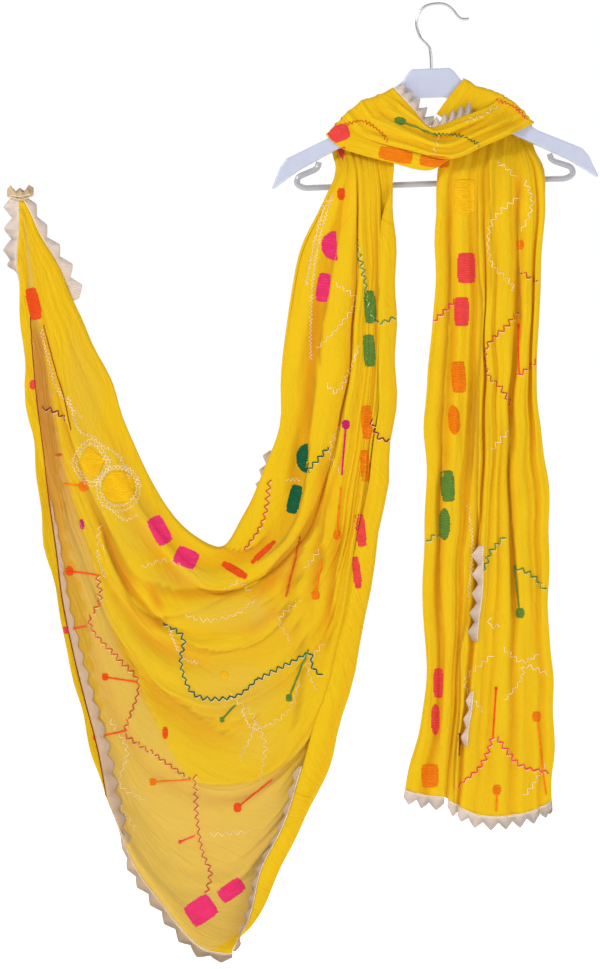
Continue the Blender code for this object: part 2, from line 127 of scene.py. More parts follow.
def new_material(name, values):
    """A material, its node tree and its Principled shader with some plain values."""
    made = bpy.data.materials.new(name)
    made.use_nodes = True
    shader = made.node_tree.nodes["Principled BSDF"]
    set_inputs(made.node_tree, shader, values)
    return made, made.node_tree, shader


print("helpers ready in Blender", bpy.app.version_string)

# %% [markdown]
# The camera stands level with the middle of the cloth, 4 m in front, as for a catalogue picture. A
# long lens keeps the hanging edges upright. The floor is a plain pale disc under the lowest corner,
# and the world is a soft white studio, so the back and the sides are lit as evenly as the front.

# %% Camera, floor and light
CAMERA_PLACE = Vector((-0.1798, -4.0, -0.6160))
FRAME_HEIGHT = 1.2446  # what the long side of the frame covers at the hanger
SENSOR = 36.0
FLOOR_RADIUS, FLOOR_DROP = 30, 0.05  # the disc lies a little under the lowest corner
FLOOR_GLOW = 0.72  # as evenly white as a lit studio floor
STUDIO_SEEN, STUDIO_CAST = 1.02, 0.41  # the surround looks brighter than the light that it casts
WHITE, PALE = (1.0, 1.0, 1.0), (0.85, 0.85, 0.85)
LIGHTS = (  # name, place, what it faces, size and power
    ("key_light", (-2.2, -2.2, 1.5), (-0.2, 0, -0.6), 0.9, 47),
    ("fill_light", (2.4, -1.6, 0.2), (-0.1, 0, -0.6), 1.4, 10),
    ("back_light", (0.6, 2.6, 0.8), (-0.2, 0, -0.6), 1.6, 18),
)

camera = bpy.data.cameras.new("camera")
camera.sensor_width = SENSOR
camera.lens = SENSOR * -CAMERA_PLACE.y / FRAME_HEIGHT
bpy.context.scene.camera = add_thing("camera", camera, CAMERA_PLACE, (math.pi / 2, 0, 0))

bpy.ops.object.select_all(action="DESELECT")
floor_place = (0, 0, solid_bounds[0].z - FLOOR_DROP)
bpy.ops.mesh.primitive_circle_add(vertices=96, radius=FLOOR_RADIUS, fill_type="NGON", location=floor_place)
floor = bpy.context.object
floor.name = "floor"
paint = {"Base Color": PALE, "Roughness": 0.9, "Emission Color": WHITE, "Emission Strength": FLOOR_GLOW}
floor.data.materials.append(new_material("floor_paint", paint)[0])
floor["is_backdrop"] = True

studio = bpy.data.worlds.new("studio")
studio.use_nodes = True
tree = studio.node_tree
seen = add_node(tree, "LightPath", {}).outputs["Is Camera Ray"]
strength = add_node(tree, "MapRange", {"Value": seen, "To Min": STUDIO_CAST, "To Max": STUDIO_SEEN})
set_inputs(tree, tree.nodes["Background"], {"Color": WHITE, "Strength": strength.outputs["Result"]})
bpy.context.scene.world = studio
bpy.context.scene.view_settings.view_transform = "Standard"

for name, place, aim, size, power in LIGHTS:
    lamp = bpy.data.lights.new(name, "AREA")
    lamp.size, lamp.energy = size, power
    add_thing(name, lamp, place, (Vector(aim) - Vector(place)).to_track_quat("-Z", "Y").to_euler())
print("lens", round(camera.lens, 1), "lights", len(LIGHTS))

# %% [markdown]
# Two effects are used again and again, so each is a node group: a crepe crinkle, which is the grain of
# georgette's twisted yarns, and a thread ribbing, which lace and satin stitch both show. A group gives
# out a height, and the material turns that into a bump. The ribbing also gives out a shade, which a
# material paints into its colour as shade between threads and highlight on their tops.

# %% Shared node groups
CREASE_SCALE = (0.03, 0.085, 1.0)  # creases run along the cloth, whose UV map is in millimetres
WEAVE_SHARE = 0.15  # how much the even weave adds to the uneven grain
RIB_FADE = 0.8  # how much lighter and darker the threads get in patches


def new_group(name, inputs, outputs):
    """An empty node group whose inputs and outputs are numbers."""
    group = bpy.data.node_groups.new(name, "ShaderNodeTree")
    for label, value in inputs.items():
        group.interface.new_socket(label, in_out="INPUT", socket_type="NodeSocketFloat").default_value = value
    for label in outputs:
        group.interface.new_socket(label, in_out="OUTPUT", socket_type="NodeSocketFloat")
    return group, group.nodes.new("NodeGroupInput").outputs, group.nodes.new("NodeGroupOutput")


def wave(tree, turns):
    """One wave for each whole turn."""
    return maths(tree, "SINE", maths(tree, "MULTIPLY", turns, math.tau))


def make_crinkle():
    """Uneven crepe grain, with threads and creases that run along the cloth."""
    wanted = ("Height", "Mottle", "Crease")
    group, given, out = new_group("crepe_crinkle", {"Grain Scale": 420.0, "Thread Pitch": 0.7}, wanted)
    place, flat = coordinates(group, "Object"), coordinates(group, "UV")
    stretched = add_node(group, "Mapping", {"Vector": flat, "Scale": CREASE_SCALE}).outputs[0]
    split = add_node(group, "SeparateXYZ", {0: flat}).outputs
    warp, weft = (wave(group, maths(group, "DIVIDE", split[axis], given["Thread Pitch"])) for axis in "XY")
    weave = maths(group, "MULTIPLY", maths(group, "MULTIPLY", warp, weft), WEAVE_SHARE)
    height = maths(group, "ADD", noise(group, place, given["Grain Scale"], 3.0), weave)
    mottle, crease = noise(group, place, 22.0, 4.0), noise(group, stretched, 1.0, 3.0, 0.6)
    set_inputs(group, out, {"Height": height, "Mottle": mottle, "Crease": crease})
    return group


def make_ribbing():
    """Fine threads side by side, across the first UV direction."""
    group, given, out = new_group("thread_ribbing", {"Pitch": 1.0, "Raggedness": 0.6}, ("Height", "Shade"))
    cloud = noise(group, coordinates(group, "Object"), 130.0)
    along = add_node(group, "SeparateXYZ", {0: coordinates(group, "UV")}).outputs["X"]
    drift = maths(group, "MULTIPLY", cloud, given["Raggedness"])
    turns = maths(group, "ADD", maths(group, "DIVIDE", along, given["Pitch"]), drift)
    height = maths(group, "MULTIPLY_ADD", wave(group, turns), 0.5, 0.5)
    fade = maths(group, "MULTIPLY", maths(group, "SUBTRACT", cloud, 0.5), RIB_FADE)
    set_inputs(group, out, {"Height": height, "Shade": maths(group, "ADD", height, fade)})
    return group


CRINKLE, RIBBING = make_crinkle(), make_ribbing()
print("node groups", CRINKLE.name, RIBBING.name)

# %% [markdown]
# The hanger is moulded plastic with a wire hook and a ribbed trouser bar. Its solids already have the
# right shape, so they stay and only get a finish: a faint mottle keeps the plastic from looking like
# paint, and the steel gets a fine mottle too.

# %% Hanger finishes
PLASTIC_BUMP = (0.15, 0.0004)  # strength, and depth in metres
STEEL_LOOK = {"Roughness": 0.22, "Metallic": 1}
HANGER = (  # solid, finish, its dark and light colours, scale of the mottle, plain values
    ("hanger_body", "hanger_plastic", (0.52, 0.55, 0.70), (0.60, 0.63, 0.77), 60, {"Roughness": 0.32}),
    ("hanger_bar", "bar_plastic", (0.35, 0.35, 0.38), (0.46, 0.46, 0.50), 60, {"Roughness": 0.24}),
    ("hanger_hook", "hook_steel", (0.42, 0.43, 0.45), (0.62, 0.62, 0.64), 500, STEEL_LOOK),
)


def hanger_finish(name, dark, light, scale, values):
    """Plastic with a slight mottle, or bright drawn wire."""
    made, tree, shader = new_material(name, values)
    mottle = noise(tree, coordinates(tree, "Object"), scale)
    set_inputs(tree, shader, {"Base Color": blend(tree, mottle, dark, light)})
    if "Metallic" not in values:
        set_inputs(tree, shader, {"Normal": bump(tree, mottle, *PLASTIC_BUMP)})
    return made


for node, *look in HANGER:
    thing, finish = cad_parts[node], hanger_finish(*look)
    if not thing.material_slots:
        thing.data.materials.append(finish)
    for slot in thing.material_slots:
        slot.material = finish
    print("dressed", node, "in", finish.name)

# %% [markdown]
# The cloth is one long scarf, but each stretch that shows is its own sheet, as in the solids. A sheet
# could be sculpted or simulated. Here its folds are known one by one, so each fold is a row of a
# table, a row gives a smooth line along the cloth, and the lines are joined into a smooth surface.

# %% Smooth lines and sheets


def unit(vectors):
    """Vectors at length 1."""
    length = np.linalg.norm(vectors, axis=-1, keepdims=True)
    return vectors / np.maximum(length, 1e-9)


def spans(line, axis=0):
    """The distances between neighbours along an axis of a line or a grid."""
    return np.linalg.norm(np.diff(line, axis=axis), axis=-1)


def between(first, second, start, end, place):
    """The value at a place between start and end, from the values there."""
    return (end - place) / (end - start) * first + (place - start) / (end - start) * second


def smooth_line(points, steps):
    """Points on a smooth curve through the given ones, with steps[i] pieces in span i."""
    points = np.asarray(points, float)
    points = np.concatenate([2 * points[:1] - points[1:2], points, 2 * points[-1:] - points[-2:-1]])
    gaps = spans(points)[..., None]
    knots = np.concatenate([0 * gaps[:1], np.cumsum(np.maximum(gaps, 1e-6) ** 0.5, axis=0)])
    line = []
    for span, pieces in enumerate(steps):
        p, k = points[span : span + 4], knots[span : span + 4]
        for share in np.arange(pieces) / pieces:
            t = k[1] + (k[2] - k[1]) * share
            a = [between(p[i], p[i + 1], k[i], k[i + 1], t) for i in range(3)]
            b = [between(a[i], a[i + 1], k[i], k[i + 2], t) for i in range(2)]
            line.append(between(b[0], b[1], k[1], k[2], t))
    line.append(points[-2])
    return np.array(line)


def smooth_sheet(rows, along, across):
    """A grid of points (fold, station, xyz) through rows of waypoints."""
    lines = smooth_line(np.swapaxes(np.asarray(rows, float), 0, 1), along)  # every fold at once
    return smooth_line(np.swapaxes(lines, 0, 1), across)


def sheet_normals(grid):
    """The direction out of the sheet at each point of a grid."""
    return unit(np.cross(np.gradient(grid, axis=1), np.gradient(grid, axis=0)))


print("a straight test line has", len(smooth_line([(0, 0, 0), (1, 0, 0), (2, 0, 0)], [4, 4])), "points")

# %% [markdown]
# The cloth goes over the hanger's arms, so it needs their height at any place. The arms are the same
# short list of corners as the solid body's, turned by the same small tilt.

# %% The arms that carry the cloth
TILT = math.radians(2.1)  # the right arm is the higher one
BLOCK_TOP = (-11.6, -82.2)  # x and z of the middle of the neck block's top
BODY_DEPTH = 12.0
# corners of one arm, as how far out and how far down they are from the middle of the block's top
HALF_UPPER = ((24, 0), (29, 4), (37, 15), (85, 50), (134, 84), (190, 109), (198, 119), (210, 147))
HALF_LOWER = ((206, 146), (174, 124), (136, 105), (105, 90), (60, 62), (30, 42), (15, 37))


def on_hanger(side, out, down):
    """World x and z of a corner on one side of the tilted hanger."""
    across = side * out
    x = BLOCK_TOP[0] + across * math.cos(TILT) + down * math.sin(TILT)
    z = BLOCK_TOP[1] + across * math.sin(TILT) - down * math.cos(TILT)
    return x, z


def height_at(outline, x):
    """The height of an outline at x."""
    return float(np.interp(x, *zip(*outline)))


ARM_TOP, ARM_UNDER = (
    sorted(on_hanger(side, *corner) for side in (-1, 1) for corner in half)
    for half in (HALF_UPPER, HALF_LOWER)
)
print("left arm is at", round(height_at(ARM_TOP, -100)), "mm, 100 mm out")

# %% [markdown]
# The left end is the swag. It comes forward under the left arm as a narrow strand, opens into deep
# hanging folds and rises again to its held corner on the far left. Each row below is one fold, from
# the long edge behind to the other long edge in front, and its columns are places along the cloth.

# %% Tables of the swag
# outlines from the front, as x and z: the tops of the cloth heaped over each arm, and the short edge
# of the left end, from the held corner to the lower one
LEFT_HUMP = ((-148, -169), (-135, -152), (-126, -143), (-109, -130), (-96, -123), (-60, -112))
RIGHT_HUMP = (
    (26, -93), (49, -104), (72, -109), (80, -118), (94, -123), (100, -131), (113, -144), (124, -159),
)
SHORT_EDGE = (
    (-537, -250), (-539, -366), (-532, -482), (-519, -597), (-502, -713), (-480, -828), (-452, -944),
    (-420, -1040), (-381, -1112), (-338, -1180), (-300, -1212), (-256, -1214),
)

Swag = namedtuple(
    "Swag",
    "fold neck high mid low hip_x hip_z sag_x sag_z turn_x turn_z rise_x rise_z share strand swag",
)
# neck, high, mid and low are x at those heights of the strand. share is how far down the short edge
# the fold ends. strand and swag say how far forward it stands there.
SWAG = [Swag(*row) for row in (
    ("tucked edge", -134, -159, -184, -194, -234, -661, -290, -713, -360, -661, -429, -510, 0.0, -8.5, -8),
    ("fold behind", -130, -175, -199, -211, -249, -652, -284, -699, -353, -645, -421, -489, 0.004, -4.5, -4),
    ("top fold", -127, -174, -198, -210, -249, -652, -284, -699, -353, -645, -421, -491, 0.009, 1, 2),
    ("panel gap", -117, -131, -159, -172, -204, -674, -288, -724, -362, -670, -435, -518, 0.015, -4, 3),
    ("first lip", -110, -108, -116, -136, -181, -682, -283, -749, -346, -704, -448, -541, 0.021, 6, 10),
    ("first tuck", -106, -104, -112, -132, -176, -688, -284, -757, -351, -712, -452, -546, 0.027, -3, -2),
    ("second lip", -101, -98, -104, -121, -163, -712, -315, -799, -380, -758, -464, -572, 0.034, 5, 7),
    ("second tuck", -98, -95, -100, -117, -161, -718, -313, -807, -383, -766, -466, -577, 0.042, -3, -4),
    ("third lip", -94, -91, -95, -110, -159, -751, -283, -830, -365, -809, -474, -602, 0.052, 4, 6),
    ("third tuck", -92, -88, -92, -107, -158, -759, -281, -839, -367, -817, -477, -608, 0.062, -3, -4),
    ("soft lip", -89, -84, -87, -100, -162, -817, -276, -895, -374, -855, -478, -633, 0.075, 4, 4),
    ("soft tuck", -86, -82, -84, -96, -158, -825, -275, -906, -375, -864, -480, -640, 0.09, -3, -3),
    ("low lip", -83, -78, -78, -89, -175, -935, -276, -1001, -372, -950, -460, -728, 0.2, 4, 7),
    ("low tuck", -80, -74, -74, -85, -168, -940, -272, -1012, -375, -962, -466, -735, 0.25, -3, -4),
    ("sheer high", -78, -71, -69, -78, -155, -932, -259, -1047, -372, -1015, -465, -822, 0.4, -3, -2),
    ("sheer middle", -75, -67, -66, -74, -151, -932, -254, -1075, -344, -1072, -414, -993, 0.62, -3, -1),
    ("sheer turning", -73, -65, -64, -71, -147, -934, -253, -1093, -324, -1103, -380, -1067, 0.72, -3, -1),
    ("sheer low", -71, -63, -62, -68, -143, -935, -250, -1114, -302, -1134, -347, -1133, 0.82, -3, -2),
    ("strip back", -69, -60, -58, -64, -133, -936, -193, -1067, -229, -1132, -257, -1183, 0.95, -4, -4),
    ("right turn", -66, -58, -56, -61, -131, -938, -177, -1049, -216, -1130, -243, -1184, 0.975, 1, 0),
    ("right fold", -63, -59, -57, -62, -132, -936, -179, -1048, -217, -1130, -244, -1184, 0.985, 3.5, 4),
    ("strip edge", -60, -79, -79, -83, -163, -923, -204, -1060, -234, -1130, -248, -1180, 0.99, 6.5, 8),
)]
SWAG_TOP = (-140, -64)  # x of the first and the last fold on top of the arm
NECK_Z, HIGH_Z, MID_Z, LOW_Z = -214.0, -302.0, -430.0, -559.0
STRAND_Y, SWAG_Y = -14.0, -9.0  # middle depths: the strand hangs in front of the bar
HEM_TURN, HEM_DROP = 18.0, 7.0  # how far the short edge is folded back, and how far behind it lies
FLAT_HEM = 4.0  # how far it reaches where it isn't folded back
CORNER_FLARE = (12.0, 4.0)  # how far the long edge swings out near the held corner
END_GAP = 0.4  # how far each stretch ends from the middle of the arm's top
ARM_GAP = 2.2  # room for the cloth on the hanger's body

print("swag folds", len(SWAG))

# %% Lay the folds of the swag


def along_outline(outline, share):
    """The point at a share of an outline's length."""
    points = np.array(outline, float)
    length = np.r_[0, np.cumsum(spans(points))]
    return np.array([np.interp(share * length[-1], length, axis) for axis in points.T])


def over_arm(hump, top_x, under_x, lift):
    """Waypoints from the top of the arm, down behind it and forward under it.

    lift is how far forward the fold stands, and the small numbers are room for the cloth.
    """
    upper, lower = height_at(ARM_TOP, top_x), height_at(ARM_UNDER, top_x)
    top = max(height_at(hump, top_x) + 0.25 * lift - 2.0, upper + ARM_GAP)
    half = BODY_DEPTH / 2
    return [
        (top_x, END_GAP, top),
        (top_x, half + ARM_GAP, top - 2.5),
        (top_x, half + 4.0 - 0.3 * lift, (upper + lower) / 2),
        (under_x, half + 2.0 - 0.1 * lift, height_at(ARM_UNDER, under_x) - 6.0),
    ]


def short_edge(share):
    """The last three waypoints of a fold, where the short edge lies flat or is folded back."""
    corner = along_outline(SHORT_EDGE, share)
    along = along_outline(SHORT_EDGE, share + 0.02) - along_outline(SHORT_EDGE, share - 0.02)
    outward = unit(np.array([along[1], -along[0]]))
    folded = np.interp(share, (0.075, 0.11, 0.62, 0.88), (0, 1, 1, 0))
    angle = math.pi * folded  # 0 lies flat and outwards, pi is folded right back
    reach = FLAT_HEM + (HEM_TURN - FLAT_HEM) * folded
    turned = corner + outward * 2.0 * math.cos(angle)
    end = corner + outward * reach * math.cos(angle)
    return corner, [
        (corner[0], SWAG_Y, corner[1]),
        (turned[0], SWAG_Y + 0.8 * HEM_DROP * folded + 0.4 * reach * math.sin(angle), turned[1]),
        (end[0], SWAG_Y + HEM_DROP * folded + reach * math.sin(angle), end[1]),
    ]


def swag_rows():
    """Waypoints of each fold of the left end, from the arm to the short edge."""
    rows = []
    for index, fold in enumerate(SWAG):
        top_x = float(np.interp(index, (0, len(SWAG) - 1), SWAG_TOP))
        strand_y, swag_y = STRAND_Y - fold.strand, SWAG_Y - fold.swag
        gathered = 1.0 if index < 3 else 0.8 if index > 18 else 0.3  # folds lie close at the neck
        corner, edge = short_edge(fold.share)
        pinch = corner + (np.array([fold.rise_x, fold.rise_z]) - corner) * 0.5
        pinch[0] += CORNER_FLARE[index] if index < len(CORNER_FLARE) else 0.0
        rise_y = SWAG_Y - (1.0 if fold.share > 0.9 else 0.5) * fold.swag  # shallower near the short edge
        rows.append(
            over_arm(LEFT_HUMP, top_x, (top_x + fold.neck) / 2, fold.strand)
            + [
                (fold.neck, STRAND_Y - fold.strand * gathered, NECK_Z),
                (fold.high, strand_y, HIGH_Z),
                (fold.mid, strand_y, MID_Z),
                (fold.low, strand_y, LOW_Z),
                (fold.hip_x, (strand_y + swag_y) / 2, fold.hip_z),
                (fold.sag_x, swag_y, fold.sag_z),
                (fold.turn_x, swag_y, fold.turn_z),
                (fold.rise_x, rise_y, fold.rise_z),
                (pinch[0], rise_y, pinch[1]),
            ]
            + edge
        )
    return rows


print("a fold of the swag has", len(swag_rows()[0]), "waypoints")

# %% [markdown]
# The right end is the tail. It is gathered all the way down, so its rows are only x positions at a
# few heights, with how far each fold stands forward.

# %% The tail
Tail = namedtuple("Tail", "fold neck high mid low shin foot hem_x hem_z lift")
TAIL = [Tail(*row) for row in (
    ("left back", -3, 5, -7, -8, -10, -8, -31, -1008, -10),
    ("left turn", 0, -6, -19, -19, -21, -19, -45, -1006, -5),
    ("left fold", 5, -5, -18, -18, -20, -18, -44, -1006, 1),
    ("left crease", 17, 17, 12, 3, 0, 0, -21, -1015, -5),
    ("left roll", 31, 32, 28, 21, 15, 10, 1, -1017, 2),
    ("under gap", 41, 43, 41, 34, 25, 18, 5, -1018, -3),
    ("gold ridge", 50, 51, 50, 48, 34, 25, 14, -1023, 3),
    ("dark gap", 58, 57, 56, 54, 45, 32, 21, -1026, -4),
    ("front edge", 64, 63, 63, 61, 52, 40, 29, -1030, 6),
    ("front crease", 71, 71, 73, 69, 62, 52, 44, -1036, -1),
    ("front roll", 82, 82, 81, 78, 75, 69, 67, -1039, 6),
    ("deep crease", 98, 102, 92, 90, 92, 92, 92, -1037, -4),
    ("side roll", 111, 114, 107, 109, 112, 113, 113, -1034, 4),
    ("side crease", 120, 119, 115, 121, 124, 130, 128, -1029, -3),
    ("right fold", 127, 126, 122, 134, 136, 144, 142, -1021, 4),
    ("right turn", 130, 127, 123, 135, 137, 145, 143, -1021, -3),
    ("right back", 133, 117, 113, 124, 127, 135, 133, -1024, -9),
)]
TAIL_TOP = (32, 118)
TAIL_LEVELS = (-214.0, -379.0, -507.0, -610.0, -764.0, -893.0)
TAIL_Y = -14.0


def tail_rows():
    """Waypoints of each fold of the right end, from the arm to the hem."""
    rows = []
    for index, fold in enumerate(TAIL):
        top_x = float(np.interp(index, (0, len(TAIL) - 1), TAIL_TOP))
        depth = TAIL_Y - fold.lift
        gathered = 0.85 if index < 3 or index > 13 else 0.4
        rows.append(
            over_arm(RIGHT_HUMP, top_x, (2 * top_x + fold.neck) / 3, fold.lift)
            + [(fold.neck, TAIL_Y - fold.lift * gathered, TAIL_LEVELS[0])]
            + [(x, depth, z) for x, z in zip(fold[2:7], TAIL_LEVELS[1:])]
            + [(fold.hem_x, depth, fold.hem_z)]
        )
    return rows


print("tail folds", len(TAIL))

# %% [markdown]
# The middle of the scarf is the cowl, which hangs in front from arm to arm. Under its lip lies the
# rolled border with the orange blocks, and behind its right half the cloth turns up over the arm.

# %% The cowl, the roll and the shoulder
Cowl = namedtuple("Cowl", "fold left_x left_z sag_x sag_z right_x right_z left_fall right_fall depth")
COWL = [Cowl(*row) for row in (
    ("neck edge", -60, -109, -15, -159, 78, -117, 1.0, 0.6, -21),
    ("first fold", -72, -113, -8, -167, 85, -119, 0.8, 0.6, -28),
    ("first hollow", -84, -118, -3, -173, 92, -123, 0.6, 0.6, -24),
    ("main fold", -99, -122, 3, -182, 101, -129, 0.45, 0.65, -34),
    ("main hollow", -110, -131, 8, -190, 108, -138, 0.45, 0.7, -30),
    ("lip", -123, -141, 13, -197, 116, -147, 0.45, 0.8, -35),
    ("lip turn", -126, -145, 13, -201, 120, -150, 0.45, 0.8, -31),
)]
ROLL = [Cowl(*row) for row in (
    ("under the lip", -121, -141, -10, -185, 58, -162, 0.5, 0.9, -21.5),
    ("block border", -137, -157, -12, -202, 54, -171, 0.5, 0.9, -27),
    ("lower edge", -146, -166, -15, -215, 50, -177, 0.5, 0.9, -25),
)]
Shoulder = namedtuple("Shoulder", "fold top_x top_z low_x low_z depth")
SHOULDER = [Shoulder(*row) for row in (
    ("inner edge", 29, -94, -5, -141, -9.5),
    ("inner fold", 38, -98, 9, -150, -11),
    ("hollow", 46, -104, 22, -153, -8),
    ("outer fold", 57, -107, 38, -151, -9),
    ("outer edge", 82, -116, 66, -148, -7.6),
)]
COWL_FACE, ROLL_FACE = -12.0, -8.0  # depth of the cowl and the roll on the front of an arm
ROLL_END = -19.0  # depth of the roll's right end, behind the cowl's lip
ARM_FRONT = -(BODY_DEPTH / 2 + ARM_GAP)
HANG = ((0.14, 0.0), (0.3, 0.45), (0.6, 0.85))  # share of the way to the sag, and how far forward


def on_top(x, z):
    """A place on top of the arm, at z or just above the arm if z is lower than that."""
    return (x, -END_GAP, max(z, height_at(ARM_TOP, x) + 2.0))


def half_cowl(fold, end, fall, face, free_end):
    """Waypoints from one end of a fold towards its sag."""
    half = []
    for share, forward in HANG:
        y = face + (fold.depth - face) * forward
        if free_end is not None:
            y = fold.depth + (free_end - fold.depth) * (1 - share)
        half.append((end[0] + (fold.sag_x - end[0]) * share, y, end[1] + (fold.sag_z - end[1]) * share**fall))
    return half


def cowl_rows(table, face, free_end=None):
    """Waypoints of each fold of a band that hangs in front from arm to arm.

    A free_end is the depth at which the right end stops behind the cloth in front of it.
    """
    rows = []
    for fold in table:
        left, right = fold[1:3], fold[5:7]
        left_top, right_top = on_top(*left), on_top(*right)
        right_end = [(right[0], ARM_FRONT, right_top[2] - 2.5), right_top]
        rows.append(
            [left_top, (left[0], ARM_FRONT, left_top[2] - 2.5)]
            + half_cowl(fold, left, fold.left_fall, face, None)
            + [(fold.sag_x, fold.depth, fold.sag_z)]
            + half_cowl(fold, right, fold.right_fall, face, free_end)[::-1]
            + (right_end if free_end is None else [(right[0], free_end, right[1])])
        )
    return rows


def shoulder_rows():
    """Waypoints of the inner turn of the right side, from over the arm to behind the cowl."""
    return [
        [
            on_top(fold.top_x, fold.top_z),
            (fold.top_x, ARM_FRONT, fold.top_z - 3),
            ((fold.top_x + fold.low_x) / 2, fold.depth, (fold.top_z + fold.low_z) / 2),
            (fold.low_x, fold.depth, fold.low_z),
        ]
        for fold in SHOULDER
    ]


print("cowl folds", len(COWL), "roll folds", len(ROLL), "shoulder folds", len(SHOULDER))

# %% [markdown]
# Georgette creases softly and never evenly. The main creases are listed one by one, as ridges and
# troughs with a place, a length, a drift, a width and a depth. Finer ones follow from a fixed seed, so
# that they come out the same each time. A crease is made shallower where the folds lie close, because
# a deep one would push the cloth through its neighbour.

# %% Creases
Crease = namedtuple("Crease", "fold start end drift width depth")  # fold and drift count table rows

SWAG_CREASES = [Crease(*row) for row in (
    (2.6, 4, 9, 0.2, 0.16, 2.4), (4.4, 5, 11, -0.2, 0.14, -2.0), (5.5, 8, 12, 0.3, 0.2, 2.2),
    (7.6, 4, 10, 0.3, 0.16, -2.2), (9.5, 5, 12, -0.3, 0.22, 2.4), (10.6, 8, 13, 0.4, 0.3, 4.0),
    (11.4, 5, 10, -0.3, 0.16, -2.4), (12.6, 8, 12, 0.5, 0.22, -3.0), (13.4, 5, 9.5, 0.3, 0.24, 3.5),
    (14.5, 4, 8.5, 0.4, 0.2, -3.0), (15.4, 5, 9, -0.4, 0.22, 3.0), (16.5, 4, 8.5, 0.3, 0.2, -2.4),
    (17.6, 4, 9, 0.2, 0.2, 2.6), (18.4, 5, 10, 0.2, 0.22, -2.4),
)]
TAIL_CREASES = [Crease(*row) for row in (
    (2.9, 3, 10.4, 0.1, 0.22, -3.5), (3.5, 4, 8, 0.3, 0.2, 1.6), (4.6, 5, 10, -0.3, 0.22, -2.6),
    (5.1, 3, 10.4, 0.1, 0.22, -4.5), (7.0, 3, 9.5, 0.2, 0.2, -4.0), (7.5, 4, 7, 0.3, 0.2, 1.6),
    (8.6, 4, 9, 0.2, 0.16, -2.0), (9.4, 4, 8, 0.4, 0.3, 2.6), (9.8, 6, 10, -0.2, 0.24, -3.6),
    (10.5, 5, 10, 0.3, 0.26, 3.0), (11.0, 3, 10, 0.2, 0.2, -3.0), (11.5, 4, 7, -0.4, 0.2, 2.0),
    (12.4, 5, 9, 0.3, 0.3, -3.0), (13.1, 3, 10.4, 0.1, 0.24, -3.0), (13.5, 4, 10, 0.2, 0.24, 1.8),
)]
COWL_CREASES = [Crease(*row) for row in (
    (0.6, 1, 9, 0.3, 0.14, 1.6), (1.5, 2, 8, -0.3, 0.16, -1.8), (2.4, 1, 7, 0.4, 0.14, 1.8),
    (3.4, 3, 9, -0.2, 0.16, -1.6), (4.3, 1, 6, 0.3, 0.14, 1.4), (4.8, 4, 9, -0.3, 0.14, -1.4),
)]
FINE_LENGTH, FINE_DRIFT, FINE_WIDTH, FINE_DEPTH = (0.8, 4.0), (-0.5, 0.5), (0.1, 0.34), (0.3, 1.0)
STEEP, FINE_STEEP = 1.1, 0.55  # how deep a crease may be for its width


def fine_creases(seed, count, depth, folds, stations):
    """Small creases scattered over a sheet, longer than they are wide."""
    random = np.random.default_rng(seed)
    made = []
    for _ in range(count):
        start, length = random.uniform(-1, stations - 1), random.uniform(*FINE_LENGTH)
        fold, drift = random.uniform(0.2, folds - 0.2), random.uniform(*FINE_DRIFT)
        width, side = random.uniform(*FINE_WIDTH), random.choice((-1.0, 1.0))
        height = side * random.uniform(*FINE_DEPTH) * depth
        made.append(Crease(fold, start, start + length, drift, width, height))
    return made


def table_places(steps):
    """Where each line of a grid lies in its table, counted in rows or columns."""
    return np.interp(np.arange(sum(steps) + 1), np.r_[0, np.cumsum(steps)], np.arange(len(steps) + 1))


def crease_heights(grid, along, across, creases, steepness):
    """How far each point of a sheet moves out for its creases, in millimetres."""
    fold, station = table_places(across)[:, None], table_places(along)[None]
    spacing = np.linalg.norm(np.gradient(grid, axis=0), axis=-1) / np.gradient(fold[:, 0])[:, None]
    heights = np.zeros(grid.shape[:2])
    for crease in creases:
        share = np.clip((station - crease.start) / (crease.end - crease.start), 0, 1)
        centre = crease.fold + crease.drift * (share - 0.5)
        profile = np.exp(-(((fold - centre) / crease.width) ** 2))
        depth = np.minimum(abs(crease.depth), steepness * crease.width * spacing)
        heights += np.sign(crease.depth) * depth * profile * np.sin(math.pi * share) ** 0.8
    return heights


def ramp(values, low, high):
    """0 below low and 1 above high, smoothly between."""
    share = np.clip((values - low) / (high - low), 0, 1)
    return share**2 * (3 - 2 * share)


def crease_sheet(grid, along, across, by_hand, fine, calm):
    """The sheet with its creases pressed in. They fade out between the two stations of calm."""
    heights = crease_heights(grid, along, across, by_hand, STEEP)
    heights += crease_heights(grid, along, across, fine, FINE_STEEP)
    if calm:
        station = table_places(along)
        heights *= 1 - 0.75 * ramp(station, *calm) - 0.25 * ramp(station, station[-1] - 1, station[-1])
    return grid + sheet_normals(grid) * heights[..., None]


print("creases by hand", len(SWAG_CREASES + TAIL_CREASES + COWL_CREASES))

# %% [markdown]
# Seen from the front, much of the swag is broad smooth panels, with the depth between them taken up in
# narrow creases. So parts of a sheet are pressed flat between their ridges and troughs. Slow waves
# then bend every line a little. They depend on the place alone, so layers move together.

# %% Panels and waves
Pressed = namedtuple("Pressed", "folds stations sharp flat")  # sharp narrows creases, flat levels them
SWAG_PRESSED = (
    Pressed((4.6, 13.5), (3.4, 9.8), 1.3, 0.9),
    Pressed((2.6, 16.5), (4.5, 12.5), 1.8, 0.2),
    Pressed((3.4, 12.5), (9.6, 12.9), 1.6, 0.5),
    Pressed((2.0, 19.0), (11.4, 13.4), 1.5, 0.6),
    Pressed((0.4, 13.0), (10.2, 14.8), 1.5, 1.0),
)
TAIL_PRESSED = (Pressed((1.2, 14.8), (4.2, 11.5), 2.6, 0.25), Pressed((8.5, 15.0), (6.0, 11.5), 2.0, 0.5))
PRESS_REACH = 1.1  # table rows on each side among which the ridges and troughs are looked for
WAVES, WAVE_LENGTH, WAVE_HEIGHT = 14, (60, 180), 1.5
WAVE_PUSH = (1.0, 0.7, 1.0)  # less in depth than in the other two directions
WAVES_FADE = (190, 280)  # how far down the waves begin


